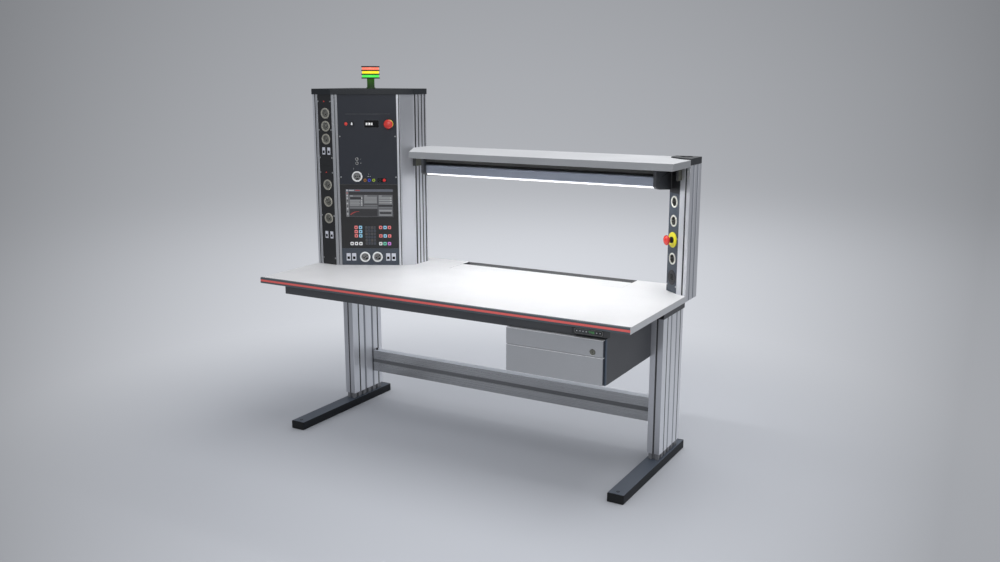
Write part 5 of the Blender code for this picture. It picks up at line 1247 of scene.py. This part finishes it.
for word, face, across, up, collar in (("tower", TOWER_FACE, 0.2413, control_z, 20),
                                       ("post", POST_FACE, 0.041, 0.9695, 32.5)):
    spot = on_face(face, across, up)
    ring = [(9.2, 1), (9.2, 4.8), (collar - 1.5, 4.8), (collar - 0.2, 3.8), (collar, 0.5), (9.2, 0.5)]
    fitted(word + "_stop_ring", lathe(ring, 56, True, spot), STOP_YELLOW,
           word + "_stop_collar")
    fitted(word + "_stop_boss", lathe(BOSS, 40, True, spot), CAP_PLASTIC)
    fitted(word + "_stop_bellows", lathe(BELLOWS, where=spot), CAP_PLASTIC,
           word + "_stop_stem", word + "_stem")
    fitted(word + "_stop_mushroom", lathe(MUSHROOM, 48, where=spot), STOP_RED,
           word + "_stop_head", word + "_head")

# Signal light
# A short pole carries three lit lens rings, green, yellow and red, between thin black discs.
# Green light from the lenses is painted onto the pole below them as a glow in its finish.
LENS_GLOW = {"green": (0.08, 0.80, 0.08), "yellow": (1.0, 0.80, 0.02), "red": (1.0, 0.22, 0.14)}
STEM_PAINTED_GLOW = (0.020, 0.085, 0.004)
STEM_DROP = 0.058
LENS_STRENGTH = 0.95
TIER = 17.4
LENS_RADIUS = 0.0393
LENS_BORE = 0.0304
LENS_SIDES = 72
LENS_FLUTE = 0.0007
LENS_CROWN = 0.0006
LENS_LEDGE = 0.0008
SIGNAL_PLASTIC = {"grain": 1200, "relief": 0.15, "edge": 0.08, "gloss": 0.2}
SIGNAL_BLACK = painted_finish("signal_black", (0.030, 0.032, 0.030), 0.5, **SIGNAL_PLASTIC)
STEM_LIT_GREEN = painted_finish("signal_stem_painted_glow", (0.030, 0.032, 0.030), 0.5, **SIGNAL_PLASTIC)
low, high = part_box("signal_pole")
signal_spot = Matrix.Translation(((low.x + high.x) / 2, (low.y + high.y) / 2, low.z))
stem_top = high.z - STEM_DROP
top = 1000 * (high.z - low.z)
pole = [(0, top)]
for disc in (top, top - TIER, top - 2 * TIER, top - 3 * TIER):
    pole += [(42.4, disc), (43.5, disc - 1), (43.5, disc - 4.5), (42.4, disc - 5.5),
             (29.8, disc - 5.7), (29.8, disc - 17.2)]
pole[-2:] = [(17.5, disc - 5.7), (17.5, 6), (21, 5), (21.5, 0), (0, 0)]
# Painted light: the stem below the lenses glows green, strongest at the top.
tree = STEM_LIT_GREEN.node_tree
height = add_node(tree, "ShaderNodeSeparateXYZ", {0: place_of(tree)})
nearness = step_of(tree, height.outputs["Z"], low.z, stem_top, 0.3, 1.0)
shader = tree.nodes["Principled BSDF"]
shader.inputs["Emission Strength"].default_value = 1.0
tree.links.new(vector_of(tree, "MULTIPLY", STEM_PAINTED_GLOW, nearness), shader.inputs["Emission Color"])
stem = fitted("signal_body", lathe(pole, 56, where=signal_spot), [SIGNAL_BLACK, STEM_LIT_GREEN],
              "signal_pole")
sorted_faces(stem, lambda face: 1 if face.center.z < stem_top else 0)
for word, colour in LENS_GLOW.items():
    lens_low, lens_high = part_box("signal_lens_" + word)
    start = lens_low.z - low.z
    end = lens_high.z - low.z
    lens = bmesh.new()
    rings = [ring_of(lens, LENS_RADIUS + reach, level, LENS_SIDES, flute=LENS_FLUTE) for reach, level in (
        (0.0, start), (LENS_CROWN, start + LENS_LEDGE), (LENS_CROWN, end - LENS_LEDGE), (0.0, end))]
    rings += [ring_of(lens, LENS_BORE, level, LENS_SIDES) for level in (end, start)]
    bridge(lens, rings + rings[:1])
    bmesh.ops.transform(lens, matrix=signal_spot, verts=lens.verts)
    fitted("signal_ring_" + word, mesh_from(lens, merge=FINE_MERGE),
           lit_finish("signal_" + word, colour, LENS_STRENGTH), "signal_lens_" + word)

# Post
# An anodised extrusion at the right rear, with a socket panel in its turned front, a dark cast
# cap, and a round cable outlet near the desk.
CAP_PAINT = painted_finish("post_cap_paint", (0.016, 0.019, 0.024), 0.42, edge=0.10)
POST_FLUTES = (0.32, 0.68)
POST_SLOT_HALF = 0.0039
POST_FLUTE_HALF = 0.0042
OUTLET_PLACE = (0.043, 0.8095)
dressed("post_extrusion", "post_profile", 0.0012, ANODISED)
low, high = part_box("post_profile")
facet = face_frame((0.87919, 0.20276), (0.9217, -0.3878))
# Painted shade: a near-black strip in the facet's slot and grey strips in the side flutes.
blocks("post_slot_strip", [((-POST_SLOT_HALF, low.z + SLOT_END, -0.0030),
                            (POST_SLOT_HALF, high.z - SLOT_END, -0.0014))],
       SLOT_SHADE_STRIP, STRIP_EASE, facet)
middles = [low.y + share * (high.y - low.y) for share in POST_FLUTES]
blocks("post_flute_strips", [((high.x - 0.0030, middle - POST_FLUTE_HALF, low.z + SLOT_END),
                              (high.x - 0.0009, middle + POST_FLUTE_HALF, high.z - SLOT_END))
                             for middle in middles],
       FLUTE_SHADE_STRIP, STRIP_EASE)
# Painted shade: a black plate on the upper part of the post's panel, under the shelf, where the shelf's
# shadow falls.
blocks("post_blank_plate", [((0.0005, 1.1650, -0.0002), (0.0815, 1.2780, 0.0006))], STRIP_BLACK,
       0.0002, POST_FACE)
dressed("post_lid", "post_cap", 0.002, CAP_PAINT, steps=3)
outlet = [(0, 0.6), (23.5, 0.6), (24, 1.6), (30, 2.2), (31.8, 1.2), (32, -0.3), (0, -0.3)]
outlet = lathe(outlet, 56, where=on_face(POST_FACE, *OUTLET_PLACE))
fitted("cable_outlet", outlet, STRIP_BLACK)
blocks("cable_outlet_slots", [((0.033, up, 0.0004), (0.053, up + 0.0038, 0.0016))
                              for up in (0.8005, 0.8065, 0.8125, 0.8185)],
       SOCKET_BLACK, 0.0005, POST_FACE)

# Shelf
# A laminated board with a pale top and grey banded edges rests on two cast brackets between
# the tower and the post.
SHELF_PALE = painted_finish("shelf_laminate", (0.68, 0.69, 0.71), 0.38, 1300, 0.12, 0.0)
SHELF_EDGE = painted_finish("shelf_edge_band", (0.34, 0.35, 0.365), 0.42, 1200, 0.1, 0.25)
CAST_OLIVE = painted_finish("olive_casting", (0.13, 0.13, 0.10), 0.5, 350, 0.5, 0.2, metallic=0.3)
# Painted shade: the castings' front faces take a near-black copy in place of the olive.
CAST_SHADED_FRONT = painted_finish("casting_painted_shade_front", (0.040, 0.040, 0.042), 0.5, 350, 0.4, 0.1)
shelf = dressed("shelf_board", "shelf", 0.001, [SHELF_PALE, SHELF_EDGE])
sorted_faces(shelf, banded)
for word in ("left", "right"):
    casting = dressed("shelf_casting_" + word, "shelf_bracket_" + word, 0.0012, [CAST_OLIVE, CAST_SHADED_FRONT])
    # Front faces take the painted shade.
    sorted_faces(casting, lambda face: 1 if face.normal.y < -0.5 else 0)

# Work lamp
# An aluminium housing with an opal diffuser hangs on two pins between black side brackets, and
# a bent rail under the shelf shades it. It tilts on the pins.
# Painted light: the housing, the black brackets and the rail are painted lighter than their own colours to
# stand in for light under the shelf.
LAMP_METAL_LIT = drawn_finish("lamp_housing_painted_light", (0.34, 0.375, 0.445), 0.30, LEVEL_LINES, 0.4)
OPAL = lit_finish("opal_diffuser", (1.0, 1.0, 1.0), 1.15, base_share=0.9)
BRACKET_LIT_BLACK = painted_finish("lamp_bracket_painted_light", (0.060, 0.063, 0.070), 0.42, 1200, 0.2, 0.10)
RAIL_LIT_BLACK = painted_finish("lamp_rail_painted_light", (0.055, 0.055, 0.052), 0.5, 1200, 0.2, 0.05)
LAMP_POWER = 3.2
LAMP_DEPTH = 0.045
dressed("lamp_casing", "lamp_housing", 0.0008, LAMP_METAL_LIT, "lamp")
dressed("lamp_lens", "lamp_diffuser", 0.0008, OPAL, "lamp")
for word in ("left", "right"):
    dressed("lamp_cap_" + word, "lamp_end_" + word, 0.0008, BRACKET_LIT_BLACK, "lamp")
    dressed("lamp_cheek_" + word, "lamp_bracket_" + word, 0.0015, BRACKET_LIT_BLACK, steps=3)
dressed("lamp_shade_rail", "lamp_rail", 0.0006, RAIL_LIT_BLACK)
low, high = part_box("lamp_bracket_right")
# A thin dark line runs across the outer face of the right cheek.
cheek_line = extrusion([(0.1530, 1.2385), (high.y - 0.001, 1.2560), (high.y - 0.001, 1.2582), (0.1530, 1.2407)],
                 high.x - 0.0006, high.x + 0.0002, axis="X")
fitted("lamp_cheek_slit", cheek_line, SOCKET_BLACK)
low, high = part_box("lamp_diffuser")
middle = (low + high) / 2
lamp_light = soft_box("work_lamp_light", (middle.x, middle.y, low.z - 0.004), (middle.x, middle.y, 0.0),
                      high.x - low.x, LAMP_DEPTH, LAMP_POWER)
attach(lamp_light, "lamp")
